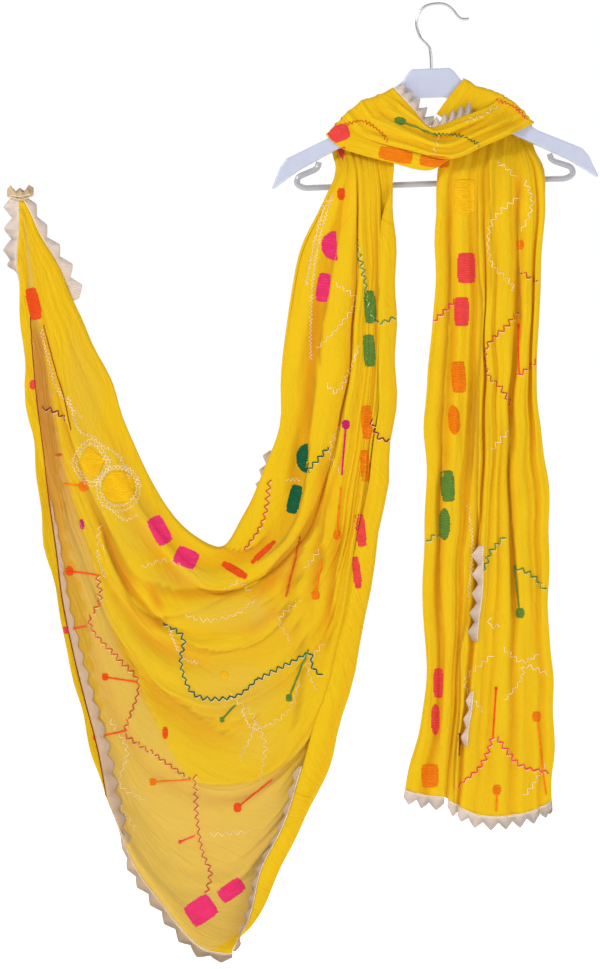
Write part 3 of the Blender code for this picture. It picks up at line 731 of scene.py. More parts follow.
def within(places, edges, soft):
    """1 between two edges, and 0 outside them, with soft ends."""
    return ramp(places, edges[0], edges[0] + soft) * (1 - ramp(places, edges[1] - soft, edges[1]))


def press_flat(grid, along, across, part):
    """The folds of a part of a sheet pressed to broad panels with narrow creases between them."""
    fold, depth = table_places(across), grid[..., 1]
    beside = [np.abs(fold - place) <= PRESS_REACH for place in fold]
    near = np.array([depth[rows].min(0) for rows in beside])
    far = np.array([depth[rows].max(0) for rows in beside])
    near, far = (np.array([side[rows].mean(0) for rows in beside]) for side in (near, far))
    share = np.clip((depth - near) / np.maximum(far - near, 1e-6), 0, 1)
    pressed = near + (far - near) * share**part.sharp * (1 - part.flat)
    weight = within(fold, part.folds, 0.8)[:, None] * within(table_places(along), part.stations, 1)
    made = grid.copy()
    made[..., 1] += weight * (pressed - depth)
    return made


def wander(grid, seed):
    """The sheet moved a little by slow random waves, so that no line on it stays even."""
    random = np.random.default_rng(seed)
    moved = np.zeros_like(grid)
    for _ in range(WAVES):
        way, length = random.uniform(0, math.tau), random.uniform(*WAVE_LENGTH)
        phase, push = random.uniform(0, math.tau), random.normal(size=3) * WAVE_PUSH
        place = grid[..., 0] * math.cos(way) + grid[..., 2] * math.sin(way)
        moved += np.sin(math.tau / length * place + phase)[..., None] * push
    return grid + moved * (WAVE_HEIGHT / math.sqrt(WAVES)) * ramp(-grid[..., 2], *WAVES_FADE)[..., None]


print("pressed parts", len(SWAG_PRESSED + TAIL_PRESSED))

# %% [markdown]
# Where one layer of cloth lies on another, its edge makes a small step, and a shadow is painted under
# it. Each such edge is a short way, seen from the front, as x and z in turn. The cloth on the left hand
# of someone who walks the way stands forward, and sinks back into the sheet further in. A deep narrow
# fold is a way too, but only its colour changes, to a painted orange shade, as if drawn with one stroke.

# %% Layers and deep folds
Layer = namedtuple("Layer", "height fade way")
Stroke = namedtuple("Stroke", "width amount way")

SWAG_LAYERS = [Layer(*row) for row in (
    # the flap's lower edge, on as the edge of the first lip, and up the strand
    (5, 24, (-531, -258, -512, -337, -503, -440, -486, -511, -471, -560, -455, -606, -444, -632,
        -427, -665, -414, -693, -400, -722, -370, -740, -348, -749, -317, -748, -289, -751, -263, -750,
        -241, -746, -226, -733, -210, -714, -180, -678, -158, -636, -149, -610, -143, -580)),
    # the bright fold beside the single layer
    (3, 30, (-492, -560, -475, -619, -458, -672, -445, -713, -436, -763, -419, -802, -400, -831,
        -372, -905, -321, -989)),
    # the other side of the deep fold beside the flap
    (4, 12, (-394, -772, -405, -759, -411, -740, -417, -722, -426, -701, -433, -679, -438, -649)),
    # the lips that hang under each other
    (4, 20, (-406, -738, -394, -766, -379, -780, -361, -786, -344, -784, -289, -767, -256, -752)),
    (3, 26, (-385, -764, -336, -812, -289, -829, -257, -826, -231, -816, -205, -793, -180, -758)),
    (3, 30, (-372, -950, -347, -976, -321, -993, -289, -1000, -240, -995, -205, -976, -176, -938)),
    # small folds that fan out between them
    (3, 14, (-340, -640, -310, -676, -280, -694, -252, -700, -232, -690, -216, -668)),
    (3, 18, (-240, -760, -205, -770, -183, -800, -176, -850, -182, -905, -196, -960)),
    (2.5, 18, (-410, -800, -380, -850, -340, -892, -290, -915, -240, -915, -200, -890)),
    (2.5, 14, (-350, -870, -318, -905, -285, -930, -250, -940)),
    # down the strand
    (5, 18, (-119, -200, -128, -289, -144, -379, -162, -507, -169, -584, -173, -620, -181, -655,
        -203, -692, -228, -712, -247, -722)),
    (4, 14, (-104, -230, -106, -302, -108, -379, -120, -507, -143, -600, -150, -640)),
    (3, 10, (-82, -215, -80, -300, -80, -400, -83, -480, -90, -560, -96, -640)),
    (4, 14, (-147, -630, -158, -669, -176, -699, -182, -741, -182, -758, -197, -785, -205, -807)),
    (3, 12, (-140, -630, -146, -654, -152, -691, -153, -728, -158, -751, -166, -790)),
    (2.5, 12, (-120, -670, -126, -699, -132, -721, -136, -748, -138, -794, -146, -850)),
)]
TAIL_LAYERS = [Layer(*row) for row in (
    (5, 26, (55, -440, 50, -507, 49, -559, 48, -640, 49, -713, 45, -764, 28, -816)),
    (5, 26, (45, -764, 28, -816, 26, -893, 22, -944, 19, -995, 19, -1034)),
    (4, 14, (15, -200, 14, -300, 13, -385, 6, -480, 2, -600, 0, -760, 0, -1000)),
    (4, 18, (49, -190, 48, -260, 50, -340, 54, -385, 52, -440, 44, -560, 36, -660)),
    (3, 14, (62, -180, 63, -240, 66, -320, 64, -400)),
    (5, 16, (104, -215, 100, -300, 103, -370, 104, -420)),
    (5, 16, (92, -500, 88, -560, 90, -640, 99, -740, 101, -800)),
)]
# deep folds whose orange shade is only painted, drawn as strokes
SWAG_STROKES = [Stroke(*row) for row in (
    (11, 1.0, (-442, -630, -431, -675, -420, -700, -408, -725, -402, -745, -397, -780)),
    (6, 0.9, (-374, -738, -362, -766, -353, -796)),
    (7, 0.6, (-398, -764, -376, -790, -350, -803)),
    (12, 0.35, (-400, -800, -365, -818, -320, -824, -290, -836)),
    (5, 0.45, (-384, -742, -340, -756, -290, -758, -250, -756)),
    (11, 0.9, (-245, -764, -224, -746, -206, -722, -188, -690)),
    (10, 1.0, (-141, -570, -149, -612, -156, -636, -167, -664, -180, -700)),
    (6, 1.0, (-162, -640, -178, -684, -185, -708, -193, -735, -203, -776)),
    (9, 0.7, (-192, -750, -212, -782, -232, -797, -262, -816)),
    (6, 0.9, (-144, -620, -156, -691, -158, -728, -166, -770)),
    (6, 0.8, (-124, -655, -136, -721, -141, -748, -145, -820)),
    (6, 0.8, (-155, -360, -160, -400, -165, -470, -169, -570)),
    (3, 0.7, (-108, -280, -110, -379, -122, -507, -147, -605)),
    (3, 0.5, (-84, -240, -82, -400, -86, -500, -96, -620)),
    (9, 0.35, (-300, -690, -270, -704, -240, -702, -222, -684)),
    (4, 0.8, (-510, -395, -500, -450, -484, -504, -475, -546, -462, -590)),
)]
TAIL_STROKES = [Stroke(*row) for row in (
    (4, 0.8, (103, -210, 102, -300, 104, -420)),
    (4, 0.7, (90, -495, 91, -560, 94, -640)),
    (6, 0.5, (94, -600, 95, -680, 100, -790)),
    (3, 1.0, (56, -420, 57, -500, 55, -600, 50, -700)),
    (3, 0.6, (17, -190, 15, -300, 13, -385, 6, -480, 2, -600, 0, -1000)),
    (3, 0.6, (50, -190, 50, -300, 54, -400)),
    (8, 0.3, (30, -720, 26, -820, 20, -940)),
)]
STEP_WIDTH = 2.4  # how wide the step at a layer's edge is


def way_distance(grid, way):
    """Distance from a way as seen from the front, positive on its left hand, and the share along it."""
    turns = np.reshape(way, (-1, 2))
    line = smooth_line(turns, [6] * (len(turns) - 1))
    start, step = line[:-1], np.diff(line, axis=0)
    place = grid[..., None, [0, 2]] - start
    share = np.clip((place * step).sum(-1) / (step**2).sum(-1), 0, 1)
    apart = ((place - share[..., None] * step) ** 2).sum(-1)
    near = np.argmin(apart, axis=-1)[..., None]
    side = step[:, 0] * place[..., 1] - step[:, 1] * place[..., 0]
    side, gap, share = (np.take_along_axis(v, near, -1)[..., 0] for v in (side, np.sqrt(apart), share))
    return np.where(side > 0, gap, -gap), (near[..., 0] + share) / len(step)


def soft_ends(along):
    """0 at both ends of a way and 1 over its middle."""
    return np.clip(np.minimum(along, 1 - along) * 5, 0, 1)


def stroke_depth(grid, strokes):
    """How deep each point lies in the folds that are drawn as strokes, for the orange shade painted there."""
    deep = np.zeros(grid.shape[:2])
    for stroke in strokes:
        gap, along = way_distance(grid, stroke.way)
        profile = np.exp(-(np.abs(gap / stroke.width) ** 2.5))
        deep = np.maximum(deep, stroke.amount * soft_ends(along) * profile)
    return deep


def lay_over(grid, layers):
    """The sheet with its layers standing forward, and how shaded and how far forward each point is."""
    laid, shade, front = grid.copy(), np.zeros(grid.shape[:2]), np.zeros(grid.shape[:2])
    for layer in layers:
        gap, along = way_distance(grid, layer.way)
        ends = soft_ends(along)
        rise = np.clip((gap + STEP_WIDTH / 2) / STEP_WIDTH, 0, 1)
        step = layer.height * ends * rise**2 * (3 - 2 * rise)
        laid[..., 1] -= step * np.exp(-np.maximum(gap, 0) / layer.fade)
        under = 0.15 * layer.height * np.exp(gap / 9.0) + 0.6 * np.exp(gap / 2.5)  # a soft and a sharp shadow
        shade += ends * np.where(gap < 0, under, 0.0)
        ahead = np.where(gap > -0.8, np.exp(-((gap / 12) ** 2)), 0.0)  # most just inside the edge
        front = np.maximum(front, ends * ahead)
    return laid, np.clip(shade, 0, 1), front


print("layers", len(SWAG_LAYERS + TAIL_LAYERS), "deep folds", len(SWAG_STROKES + TAIL_STROKES))

# %% [markdown]
# A sheet becomes a mesh with a UV map in millimetres, for the weave, and Solidify gives it its
# thickness. Five attributes steer its colour. Trough and deep say how far a point lies back in a fold,
# where an orange shade is painted into the colour. Edge is a painted shadow under a layer.
# Sheer says where there is only one layer, and lined where a turned hem shows through it.

# %% Turn a sheet into a piece
THIN = 0.6  # thickness of georgette with its crepe


def quads(folds, stations, first=0):
    """The faces of a grid whose points are numbered from first."""
    number = np.arange(folds * stations).reshape(folds, stations) + first
    corners = [number[:-1, :-1], number[1:, :-1], number[1:, 1:], number[:-1, 1:]]
    return np.stack(corners, axis=-1).reshape(-1, 4).tolist()


def write_uv(mesh, places):
    """A UV map from a place for each point."""
    corners = np.zeros(len(mesh.loops), np.int32)
    mesh.loops.foreach_get("vertex_index", corners)
    mesh.uv_layers.new(name="UVMap").data.foreach_set("uv", np.array(places)[corners].ravel())


def grid_mesh(name, grid):
    """A mesh of quads through a grid of points in millimetres, with arc lengths as its UV map."""
    mesh = bpy.data.meshes.new(name)
    mesh.from_pydata((grid.reshape(-1, 3) * MM).tolist(), [], quads(*grid.shape[:2]))
    along = np.pad(np.cumsum(spans(grid, 1), axis=1), ((0, 0), (1, 0)))
    across = np.pad(np.cumsum(spans(grid, 0), axis=0), ((1, 0), (0, 0)))
    write_uv(mesh, np.stack([along.ravel(), across.ravel()], axis=-1))
    return mesh


def thicken(thing, thickness):
    """A Solidify modifier, applied, centred on the sheet."""
    bpy.ops.object.select_all(action="DESELECT")
    thing.select_set(True)
    bpy.context.view_layer.objects.active = thing
    solidify = thing.modifiers.new("thickness", "SOLIDIFY")
    solidify.thickness = thickness * MM
    solidify.offset = 0.0
    bpy.ops.object.modifier_apply(modifier=solidify.name)


def add_piece(name, mesh, finish, nodes=(), thickness=0.0):
    """A finished piece that rides on the hanger and takes the place of its solids."""
    thing = add_thing(name, mesh)
    mesh.materials.append(finish)
    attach(thing, "root")
    if nodes:
        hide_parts(*nodes)
    if thickness:
        thicken(thing, thickness)
    thing.data.shade_smooth()
    thing.data.calc_loop_triangles()
    print(name, len(thing.data.loop_triangles), "triangles")
    return thing


print("a sheet of 3 by 4 points has", len(quads(3, 4)), "faces")

# %% [markdown]
# Georgette is sheer, matt and a little springy. Its colour is strong yellow where two or more layers
# lie together, a dull pale yellow where there is one layer, and tan where a turned hem lies behind
# that. Deep in the folds an orange shade is painted, and under the edges of layers a darker shadow.
# Alpha lets what is behind show faintly, and sheen gives the soft edge that loose fibres make.

# %% Georgette
RIDGE = (0.86, 0.545, 0.004)
TINTS_AND_PAINTED_SHADE = (  # where each tint or painted shade goes, how strong it is, and its colour
    # trough, deep and edge are painted shade: orange in the folds, darker under a layer's edge
    ("trough", 1, (0.79, 0.38, 0.001)),
    ("deep", 1, (0.76, 0.245, 0.0)),
    ("edge", 1, (0.50, 0.25, 0.006)),
    ("sheer", 0.75, (0.82, 0.54, 0.055)),
    ("lined", 1, (0.68, 0.255, 0.045)),
    ("mottle", 0.34, (0.80, 0.46, 0.02)),
)
MARKS = [tint[0] for tint in TINTS_AND_PAINTED_SHADE[:5]]  # those that a mesh carries as attributes
DENSE, SHEER_ALPHA = 0.985, 0.18  # alpha of doubled cloth, and how much less one layer has
FOLD_HEIGHT, GRAIN_HEIGHT = 3.4, 0.35
GEORGETTE_LOOK = {
    "Roughness": 0.76,
    "Sheen Weight": 0.1,
    "Sheen Roughness": 0.4,
    "Sheen Tint": (1.0, 0.93, 0.5),
    "Specular IOR Level": 0.12,
}


def make_georgette():
    """Sheer yellow crepe with colour that follows the folds."""
    made, tree, shader = new_material("georgette", GEORGETTE_LOOK)
    crinkle = add_node(tree, "Group", {"Grain Scale": 420.0, "Thread Pitch": 0.7}, node_tree=CRINKLE).outputs
    marks = {name: add_node(tree, "Attribute", {}, attribute_name=name).outputs["Fac"] for name in MARKS}
    marks["mottle"] = crinkle["Mottle"]
    colour = RIDGE
    for name, share, tint in TINTS_AND_PAINTED_SHADE:
        factor = marks[name] if share == 1 else maths(tree, "MULTIPLY", marks[name], share)
        colour = blend(tree, factor, colour, tint)
    alpha = maths(tree, "SUBTRACT", DENSE, maths(tree, "MULTIPLY", marks["sheer"], SHEER_ALPHA))
    folds = maths(tree, "MULTIPLY", crinkle["Crease"], FOLD_HEIGHT)
    height = maths(tree, "ADD", folds, maths(tree, "MULTIPLY", crinkle["Height"], GRAIN_HEIGHT))
    set_inputs(tree, shader, {"Base Color": colour, "Alpha": alpha, "Normal": bump(tree, height, 0.8, MM)})
    return made


GEORGETTE = make_georgette()
print("nodes in the georgette", len(GEORGETTE.node_tree.nodes))

# %% [markdown]
# On the left and low down the swag is one sheer layer. There the long hem is turned over to the face,
# so that a tan band shows at the far left. Both are found from ways on the cloth.

# %% Where the swag is sheer
SWAG_ALONG = [4] * 4 + [7] * 3 + [12] * 6 + [5] * 2  # how many pieces each span of the tables gets
SWAG_ACROSS = [9, 9, 26, 12] + [9] * 6 + [14, 22] + [12] * 6 + [9] * 3
# left of and below this way the swag is a single layer
SINGLE = (
    -513, -405, -505, -458, -497, -507, -475, -619, -445, -713, -419, -802, -372, -905, -321, -989,
    -289, -1000, -240, -995, -205, -976, -160, -920,
)
# along this way the long hem is turned over, and its lace points inwards from here
FACE_LACE = (
    -525, -400, -520, -469, -515, -520, -508, -572, -501, -636, -492, -700, -484, -764, -471, -828,
    -455, -893, -440, -950, -426, -1021, -413, -1079,
)
SheerPatch = namedtuple("SheerPatch", "x z wide high amount")  # wide and high are half sizes
SHEER_PATCHES = [SheerPatch(*row) for row in (
    (-263, -783, 70, 24, 0.45), (-263, -880, 74, 44, 0.55), (-225, -944, 50, 36, 0.45),
    (-234, -780, 11, 24, 0.8), (-330, -735, 50, 14, 0.35), (-195, -700, 30, 40, 0.3),
    (-455, -480, 26, 110, 0.36), (-385, -670, 36, 40, 0.34), (-430, -610, 40, 60, 0.3),
)]
SOFT_EDGE = 6.0  # how gradually the single layer begins
HEM_BAND = 38  # how far in the turned hem shows through
HEM_SHOWS = (400, 425, 600, 760, 1000), (0, 1, 0.9, 0.4, 0.1)  # how far down, and how much there


def single_share(grid):
    """1 on the open side of the single layer's way, with a soft edge."""
    return 0.5 - way_distance(grid, SINGLE)[0] / SOFT_EDGE


def single_layer(grid):
    """1 where the swag is one sheer layer, 0 where its folds lie on each other.

    The limits for fold and row count rows and columns of the swag's table.
    """
    fold, row = table_places(SWAG_ACROSS)[:, None], table_places(SWAG_ALONG)[None]
    inwards, along_hem = way_distance(grid, FACE_LACE)
    inside_hem = (inwards > 0) | (along_hem > 0.999)
    strip = np.clip((18.8 - fold) / 0.4, 0, 1)  # the folded strip on the right is double again
    low = np.clip((row - 7.8) / 0.8, 0, 1) * np.clip((fold - 1.5) / 1.5, 0, 1)
    thin = 0.2 * np.clip((fold - 5) / 4, 0, 1)
    for patch in SHEER_PATCHES:
        apart = ((grid[..., 0] - patch.x) / patch.wide) ** 2 + ((grid[..., 2] - patch.z) / patch.high) ** 2
        thin = np.maximum(thin, patch.amount * np.exp(-(apart**2)))
    return np.clip(single_share(grid), thin, 1) * strip * low * inside_hem


def lined_share(grid):
    """How much of the turned hem shows through the single layer, most of all high up."""
    inwards = way_distance(grid, FACE_LACE)[0]
    shows = np.clip(single_share(grid), 0, 1) * np.interp(-grid[..., 2], *HEM_SHOWS)
    return shows * (inwards > 0) * np.exp(-((inwards / HEM_BAND) ** 2))


print("sheer patches", len(SHEER_PATCHES))

# %% [markdown]
# Now every stretch is built in the same way: its rows make a smooth sheet, parts of it are pressed
# flat, waves and creases follow, and layers are raised last. One table says what each of them gets.

# %% Build the stretches of cloth
TAIL_ALONG = [4] * 4 + [14] * 6
TAIL_ACROSS = [9, 9, 14, 14, 10, 10, 8, 8, 8, 12, 14, 12, 10, 9, 9, 9]
COWL_ALONG = [6, 8] + [12] * 6 + [8, 6]
TROUGH_REACH, TROUGH_LEVEL, TROUGH_RANGE = 0.8, 0.22, 6.5
Sheet = namedtuple(
    "Sheet", "node rows along across fine flat held creases pressed layers strokes waves calm",
    defaults=((), (), (), (), 0, None),
)
# fine holds the seed, number and depth of the fine creases. flat is the size that the stretch was cut
# to, in metres. waves is the seed of the slow waves.
SHEETS = {
    "swag_cloth": Sheet(
        "stole_swag", swag_rows(), SWAG_ALONG, SWAG_ACROSS, (7, 420, 3.2), (1.0, 1.15), "hung",
        SWAG_CREASES, SWAG_PRESSED, SWAG_LAYERS, SWAG_STROKES, 3, (8.8, 10.6),
    ),
    "tail_cloth": Sheet(
        "stole_tail", tail_rows(), TAIL_ALONG, TAIL_ACROSS, (11, 220, 1.5), (0.3, 0.85), "gathered",
        TAIL_CREASES, TAIL_PRESSED, TAIL_LAYERS, TAIL_STROKES, 5,
    ),
    "cowl_cloth": Sheet(
        "stole_cowl", cowl_rows(COWL, COWL_FACE), COWL_ALONG, [14] * 6, (13, 90, 1.9), (0.09, 0.25), "draped",
        COWL_CREASES,
    ),
    "roll_cloth": Sheet(
        "stole_roll", cowl_rows(ROLL, ROLL_FACE, ROLL_END), [8] * 9, [12] * 2, (17, 16, 0.8), (0.04, 0.2),
        "draped",
    ),
    "shoulder_cloth": Sheet(
        "stole_shoulder_right", shoulder_rows(), [14] * 3, [10] * 4, (19, 14, 0.8), (0.06, 0.07), "draped"
    ),
}


def build_sheet(sheet):
    """A creased and layered sheet from its rows, with the shade under its layers."""
    steps = sheet.along, sheet.across
    grid = smooth_sheet(sheet.rows, *steps)
    for part in sheet.pressed:
        grid = press_flat(grid, *steps, part)
    if sheet.waves:
        grid = wander(grid, sheet.waves)
    fine = fine_creases(*sheet.fine, len(sheet.across), len(sheet.along))
    return lay_over(crease_sheet(grid, *steps, sheet.creases, fine, sheet.calm), sheet.layers)


def trough_depth(grid, across):
    """From 0 on a ridge to 1 deep in a trough, by how far a point lies behind its neighbours' mean."""
    depth, fold = grid[..., 1], table_places(across)
    mean = np.array([depth[np.abs(fold - place) <= TROUGH_REACH].mean(0) for place in fold])
    return np.clip(TROUGH_LEVEL + (depth - mean) / TROUGH_RANGE, 0, 1)


grids, cloth = {}, {}
for name, sheet in SHEETS.items():
    grid, shade, front = build_sheet(sheet)
    trough = trough_depth(grid, sheet.across)
    # trough and deep paint an orange shade into the folds, and edge a darker shadow under each layer
    marks = {
        "trough": np.clip(trough + 0.35 * shade, 0, 1),
        "edge": np.clip(0.75 * shade**2 + 0.4 * np.maximum(trough - 0.75, 0), 0, 1),
        "sheer": single_layer(grid) if name == "swag_cloth" else 0 * shade,
        "deep": stroke_depth(grid, sheet.strokes) * (1 - front),
        "lined": lined_share(grid) if name == "swag_cloth" else 0 * shade,
    }
    mesh = grid_mesh(name, grid)
    for mark, values in marks.items():
        layer = mesh.attributes.new(mark, "FLOAT", "POINT")
        layer.data.foreach_set("value", values.astype(np.float32).ravel())
    grids[name] = grid
    cloth[name] = add_piece(name, mesh, GEORGETTE, [sheet.node], THIN)

# %% [markdown]
# The lace is a woven edging 20 mm wide, sewn along the scarf's edges. It has a straight heading and
# pointed scallops. It could be a flat picture, but its points show against the light, so it is a
# strip of mesh that starts at the cloth's own edge, with its points from a formula. It looks paler or
# warmer with what lies behind it, and two of its five finishes of the same thread are darker copies
# with painted shade, for lace that lies in shade.

# %% Lace
LACE_GAP, LACE_THICK = 0.4, 0.7
LACE_BANDS = 9  # lines of points across the strip
HEADING_IN, HEADING_RAISE = 1.5, 0.5  # where the pale cord of the heading lies on the strip
LACES = {  # dark and light colour, and alpha
    "beige_lace": ((0.76, 0.56, 0.46), (1.0, 0.88, 0.78), 0.86),
    # a darker copy of the same thread: painted shade for lace that lies in shade
    "lace_in_shade": ((0.60, 0.42, 0.31), (0.92, 0.72, 0.57), 1.0),
    "lace_under_crepe": ((0.76, 0.50, 0.31), (0.95, 0.70, 0.50), 0.66),
    # a darker, warmer copy: painted warm shade for lace low on the swag and beside it
    "lace_warm": ((0.56, 0.36, 0.20), (0.82, 0.58, 0.38), 0.86),
    "lace_tan": ((0.56, 0.37, 0.20), (0.84, 0.62, 0.40), 1.0),
}
HEADINGS = []  # the lines along which lace is sewn on


def thread_finish(name, look, dark, light, pitch, raggedness):
    """Threads side by side in lace or in silk, with painted shade between them and a painted highlight on
    top.
    """
    made, tree, shader = new_material(name, look)
    ribs = add_node(tree, "Group", {"Pitch": pitch, "Raggedness": raggedness}, node_tree=RIBBING).outputs
    raised = bump(tree, ribs["Height"], 0.8, 0.0008)
    set_inputs(tree, shader, {"Base Color": blend(tree, ribs["Shade"], dark, light), "Normal": raised})
    return made


LACE_FINISH = {
    name: thread_finish(name, {"Roughness": 0.85, "Sheen Weight": 0.2, "Alpha": alpha}, dark, light, 2.2, 0.5)
    for name, (dark, light, alpha) in LACES.items()
}


def resample(line, values, at):
    """Values of a line at given lengths along it."""
    length = np.r_[0, np.cumsum(spans(line))]
    return np.column_stack([np.interp(at, length, axis) for axis in values.T])


def add_lace(name, edge, outward, width, pitch, nodes=(), flute=0.9, finish="beige_lace", heading=0.45):
    """A strip of lace with rounded points that goes on from an edge of the cloth.

    width holds its width at both ends, heading the share of it that isn't cut into points, and flute
    how far its points curl out of the strip.
    """
    total = spans(edge).sum()
    scallops = max(1, round(total / pitch))
    at = np.linspace(0, total, max(2, round(total)) + 1)
    base, out = resample(edge, edge, at), unit(resample(edge, np.broadcast_to(outward, edge.shape), at))
    across = unit(np.cross(out, unit(np.gradient(base, axis=0))))
    turn = at / total * scallops
    point = 1 - np.abs(2 * (turn % 1) - 1) ** 1.1
    reach = np.interp(at, (0, total), width) * (heading + (1 - heading) * point)
    bands = []
    for share in np.linspace(0, 1, LACE_BANDS):
        ruffle = flute * share * np.sin(math.tau * turn + 0.7)
        bands.append(base + out * (LACE_GAP + (reach - LACE_GAP) * share)[:, None] + across * ruffle[:, None])
    add_piece(name, grid_mesh(name, np.array(bands)), LACE_FINISH[finish], nodes, LACE_THICK)
    base, out, across = base[::3], out[::3], across[::3]  # a cord needs fewer points
    HEADINGS.append(base + out * HEADING_IN - across * np.sign(across[:, 1:2]) * HEADING_RAISE)


def edge_between(line, upper, lower):
    """A dozen points of a hanging line between two heights."""
    heights, hanging = np.linspace(upper, lower, 12), line[np.argsort(line[:, 2])]
    return np.column_stack([np.interp(heights, hanging[:, 2], axis) for axis in hanging.T])


def part_of(along, start, end):
    """The grid stations from one column of a table to another."""
    stations = np.interp((start, end), range(len(along) + 1), np.r_[0, np.cumsum(along)])
    first, last = (int(round(station)) for station in stations)
    return slice(first, last + 1)


def away_from(grid, run):
    """The direction in which some folds run out at their last stations."""
    return unit(grid[run, -1] - grid[run, -3])


print("lace finishes", len(LACE_FINISH))

# %% [markdown]
# Each run of lace that shows is one strip: the short edge with its held corner, the long edges of the
# swag, two small ruffles at the neck, the tail's hem in two halves, and its front edge.

# %% Sew the lace on the swag
HIP, PINCH, CORNER = 8, 12, 13  # columns of the swag's table
FOLDED_BEHIND = -1040  # below this the short edge shows again, and its lace gets a painted warm shade
swag, tail, cowl = grids["swag_cloth"], grids["tail_cloth"], grids["cowl_cloth"]

low = int(np.argmax(swag[:, -1, 2] < FOLDED_BEHIND))
for name, run, finish, nodes in (
    ("lace_short", slice(None, low + 1), "beige_lace", ["lace_short_edge"]),
    ("lace_short_low", slice(low, None), "lace_warm", []),
):
    add_lace(name, swag[run, -1], away_from(swag, run), (20, 12), 26, nodes, finish=finish)
run = part_of(SWAG_ALONG, PINCH, CORNER)
add_lace("lace_long", swag[0, run], unit(np.array([0.92, 0.0, 0.38])), (20, 11), 28, ["lace_long_edge"])
run = part_of(SWAG_ALONG, HIP + 1 / 3, CORNER + 0.4)
outward = unit(swag[-1, run] - swag[-4, run])
add_lace("lace_side", swag[-1, run], outward, (10, 10), 22, ["lace_strip"], finish="lace_warm")

for name, edge, outward, width, pitch, nodes, *form in (
    (
        "lace_cap", ((-555, -12.5, -248), (-547, -14, -251), (-537, -12, -253), (-521, -12, -247)),
        (0, -0.1, 1), (17, 17), 11, ["lace_corner"], 2.6, "lace_tan", 0.62,
    ),
    (
        "lace_knot", ((-551, -15, -247), (-538, -16.5, -249), (-525, -15, -246)),
        (0, -0.25, 1), (9, 9), 8, [], 2.2, "lace_tan", 0.7,
    ),
    (
        "lace_behind_strand", ((-226, -4, -628), (-212, -4, -574)),
        (-0.96, 0, 0.28), (14, 14), 18, ["lace_strand"],
    ),
):
    add_lace(name, np.array(edge, float), unit(np.array(outward)), width, pitch, nodes, *form)

# %% Sew the lace on the neck and the tail
run = part_of(COWL_ALONG, 1, 5)  # the left half of the neck edge
neck = cowl[0, run]
lean = np.linspace(-0.05, 0.35, len(neck))
outward = unit(np.column_stack([0.75 + 0 * lean, lean, 0.65 + 0 * lean]))
add_lace("lace_neck_left_ruffle", neck, outward, (15, 17), 15, ["lace_neck_left"], 2.6)
run = part_of(COWL_ALONG, 5.1, 6.6)  # and the short stretch right of its middle
neck = cowl[0, run] + np.array([0.0, 2.0, -2.0])
outward = unit(np.array([0.1, 0.1, 1.0]))
add_lace("lace_neck_right_ruffle", neck, outward, (15, 19), 12, ["lace_neck_right"], 2.6)

gap = sum(TAIL_ACROSS[:5])  # where the two halves of the hem part
for side, run in (("left", slice(0, gap - 4)), ("right", slice(gap + 4, None))):
    outward = away_from(tail, run)
    add_lace(f"lace_{side}_hem", tail[run, -1], outward, (18, 18), 19, [f"lace_hem_{side}"])
front = tail[sum(TAIL_ACROSS[:8])] + np.array([0.0, -1.3, 0.0])
outward = unit(np.array([-1.0, -0.1, 0.0]))
for part, upper, lower, width in (("upper", -694, -816, (16, 14)), ("lower", -880, -950, (10, 10))):
    edge = edge_between(front, upper, lower)
    add_lace(f"lace_tail_{part}", edge, outward, width, 24, [f"lace_front_{part}"], 1.6, "lace_in_shade")

# %% [markdown]
# The embroidery is worked in silk through both faces of the cloth: solid blocks in satin stitch, pins
# with round heads, zigzag trails and thin metallic chains. It is a common mix of geometric fillings,
# so it could be a repeat in the material. Raised thread catches the light, though, so each motif is a
# small mesh laid on the cloth. Its place is written as x and z from the front, and a ray from the
# camera's side finds the cloth there, so that a motif bends with the folds and is cut off by them.

# %% Find the cloth under a motif
EYE = Vector(np.array(CAMERA_PLACE) / MM)
points, faces = [], []
for grid in grids.values():
    faces += quads(*grid.shape[:2], first=len(points))
    points += [tuple(p) for p in grid.reshape(-1, 3)]
CLOTH_TREE = BVHTree.FromPolygons(points, faces)


def touch(x, z):
    """The front of the cloth at a place seen from the front, with its normal, or None beside it."""
    place, normal, _, _ = CLOTH_TREE.ray_cast(EYE, (Vector((x, 0, z)) - EYE).normalized())
    if place is None:
        return None
    return np.array(place), np.array(normal if normal.y < 0 else -normal)


print("the strand's middle is at", [round(float(v)) for v in touch(-100, -400)[0]])

# %% Motif shapes
SILK_STEP = 1.1  # spacing of the points of a motif
JUMP = 2.6  # a motif is cut where the cloth drops away by more than this between two points
RAISE = 1.3  # thickness of stitches, which go through the cloth and stand up on both faces
RAGGED = 0.25  # how uneven the ends of the stitches are
INSIDE = 0.999  # keeps the outermost points of a shape in it

Block = namedtuple("Block", "silk x z width height tilt shape", defaults=("block",))
SHAPES = {  # whether a place, from -1 to 1 each way, is in the shape
    "block": lambda across, up: abs(across) ** 11 + abs(up) ** 11 <= 1,  # with slightly soft corners
    "round": lambda across, up: across**2 + up**2 <= 1,
    "left_half": lambda across, up: (0.5 * (across - 1)) ** 2 + up**2 <= 1,
    "diamond": lambda across, up: abs(across) + abs(up) <= 1.15,
    "wedge": lambda across, up: abs(across) <= 0.5 * (1 + up),
}


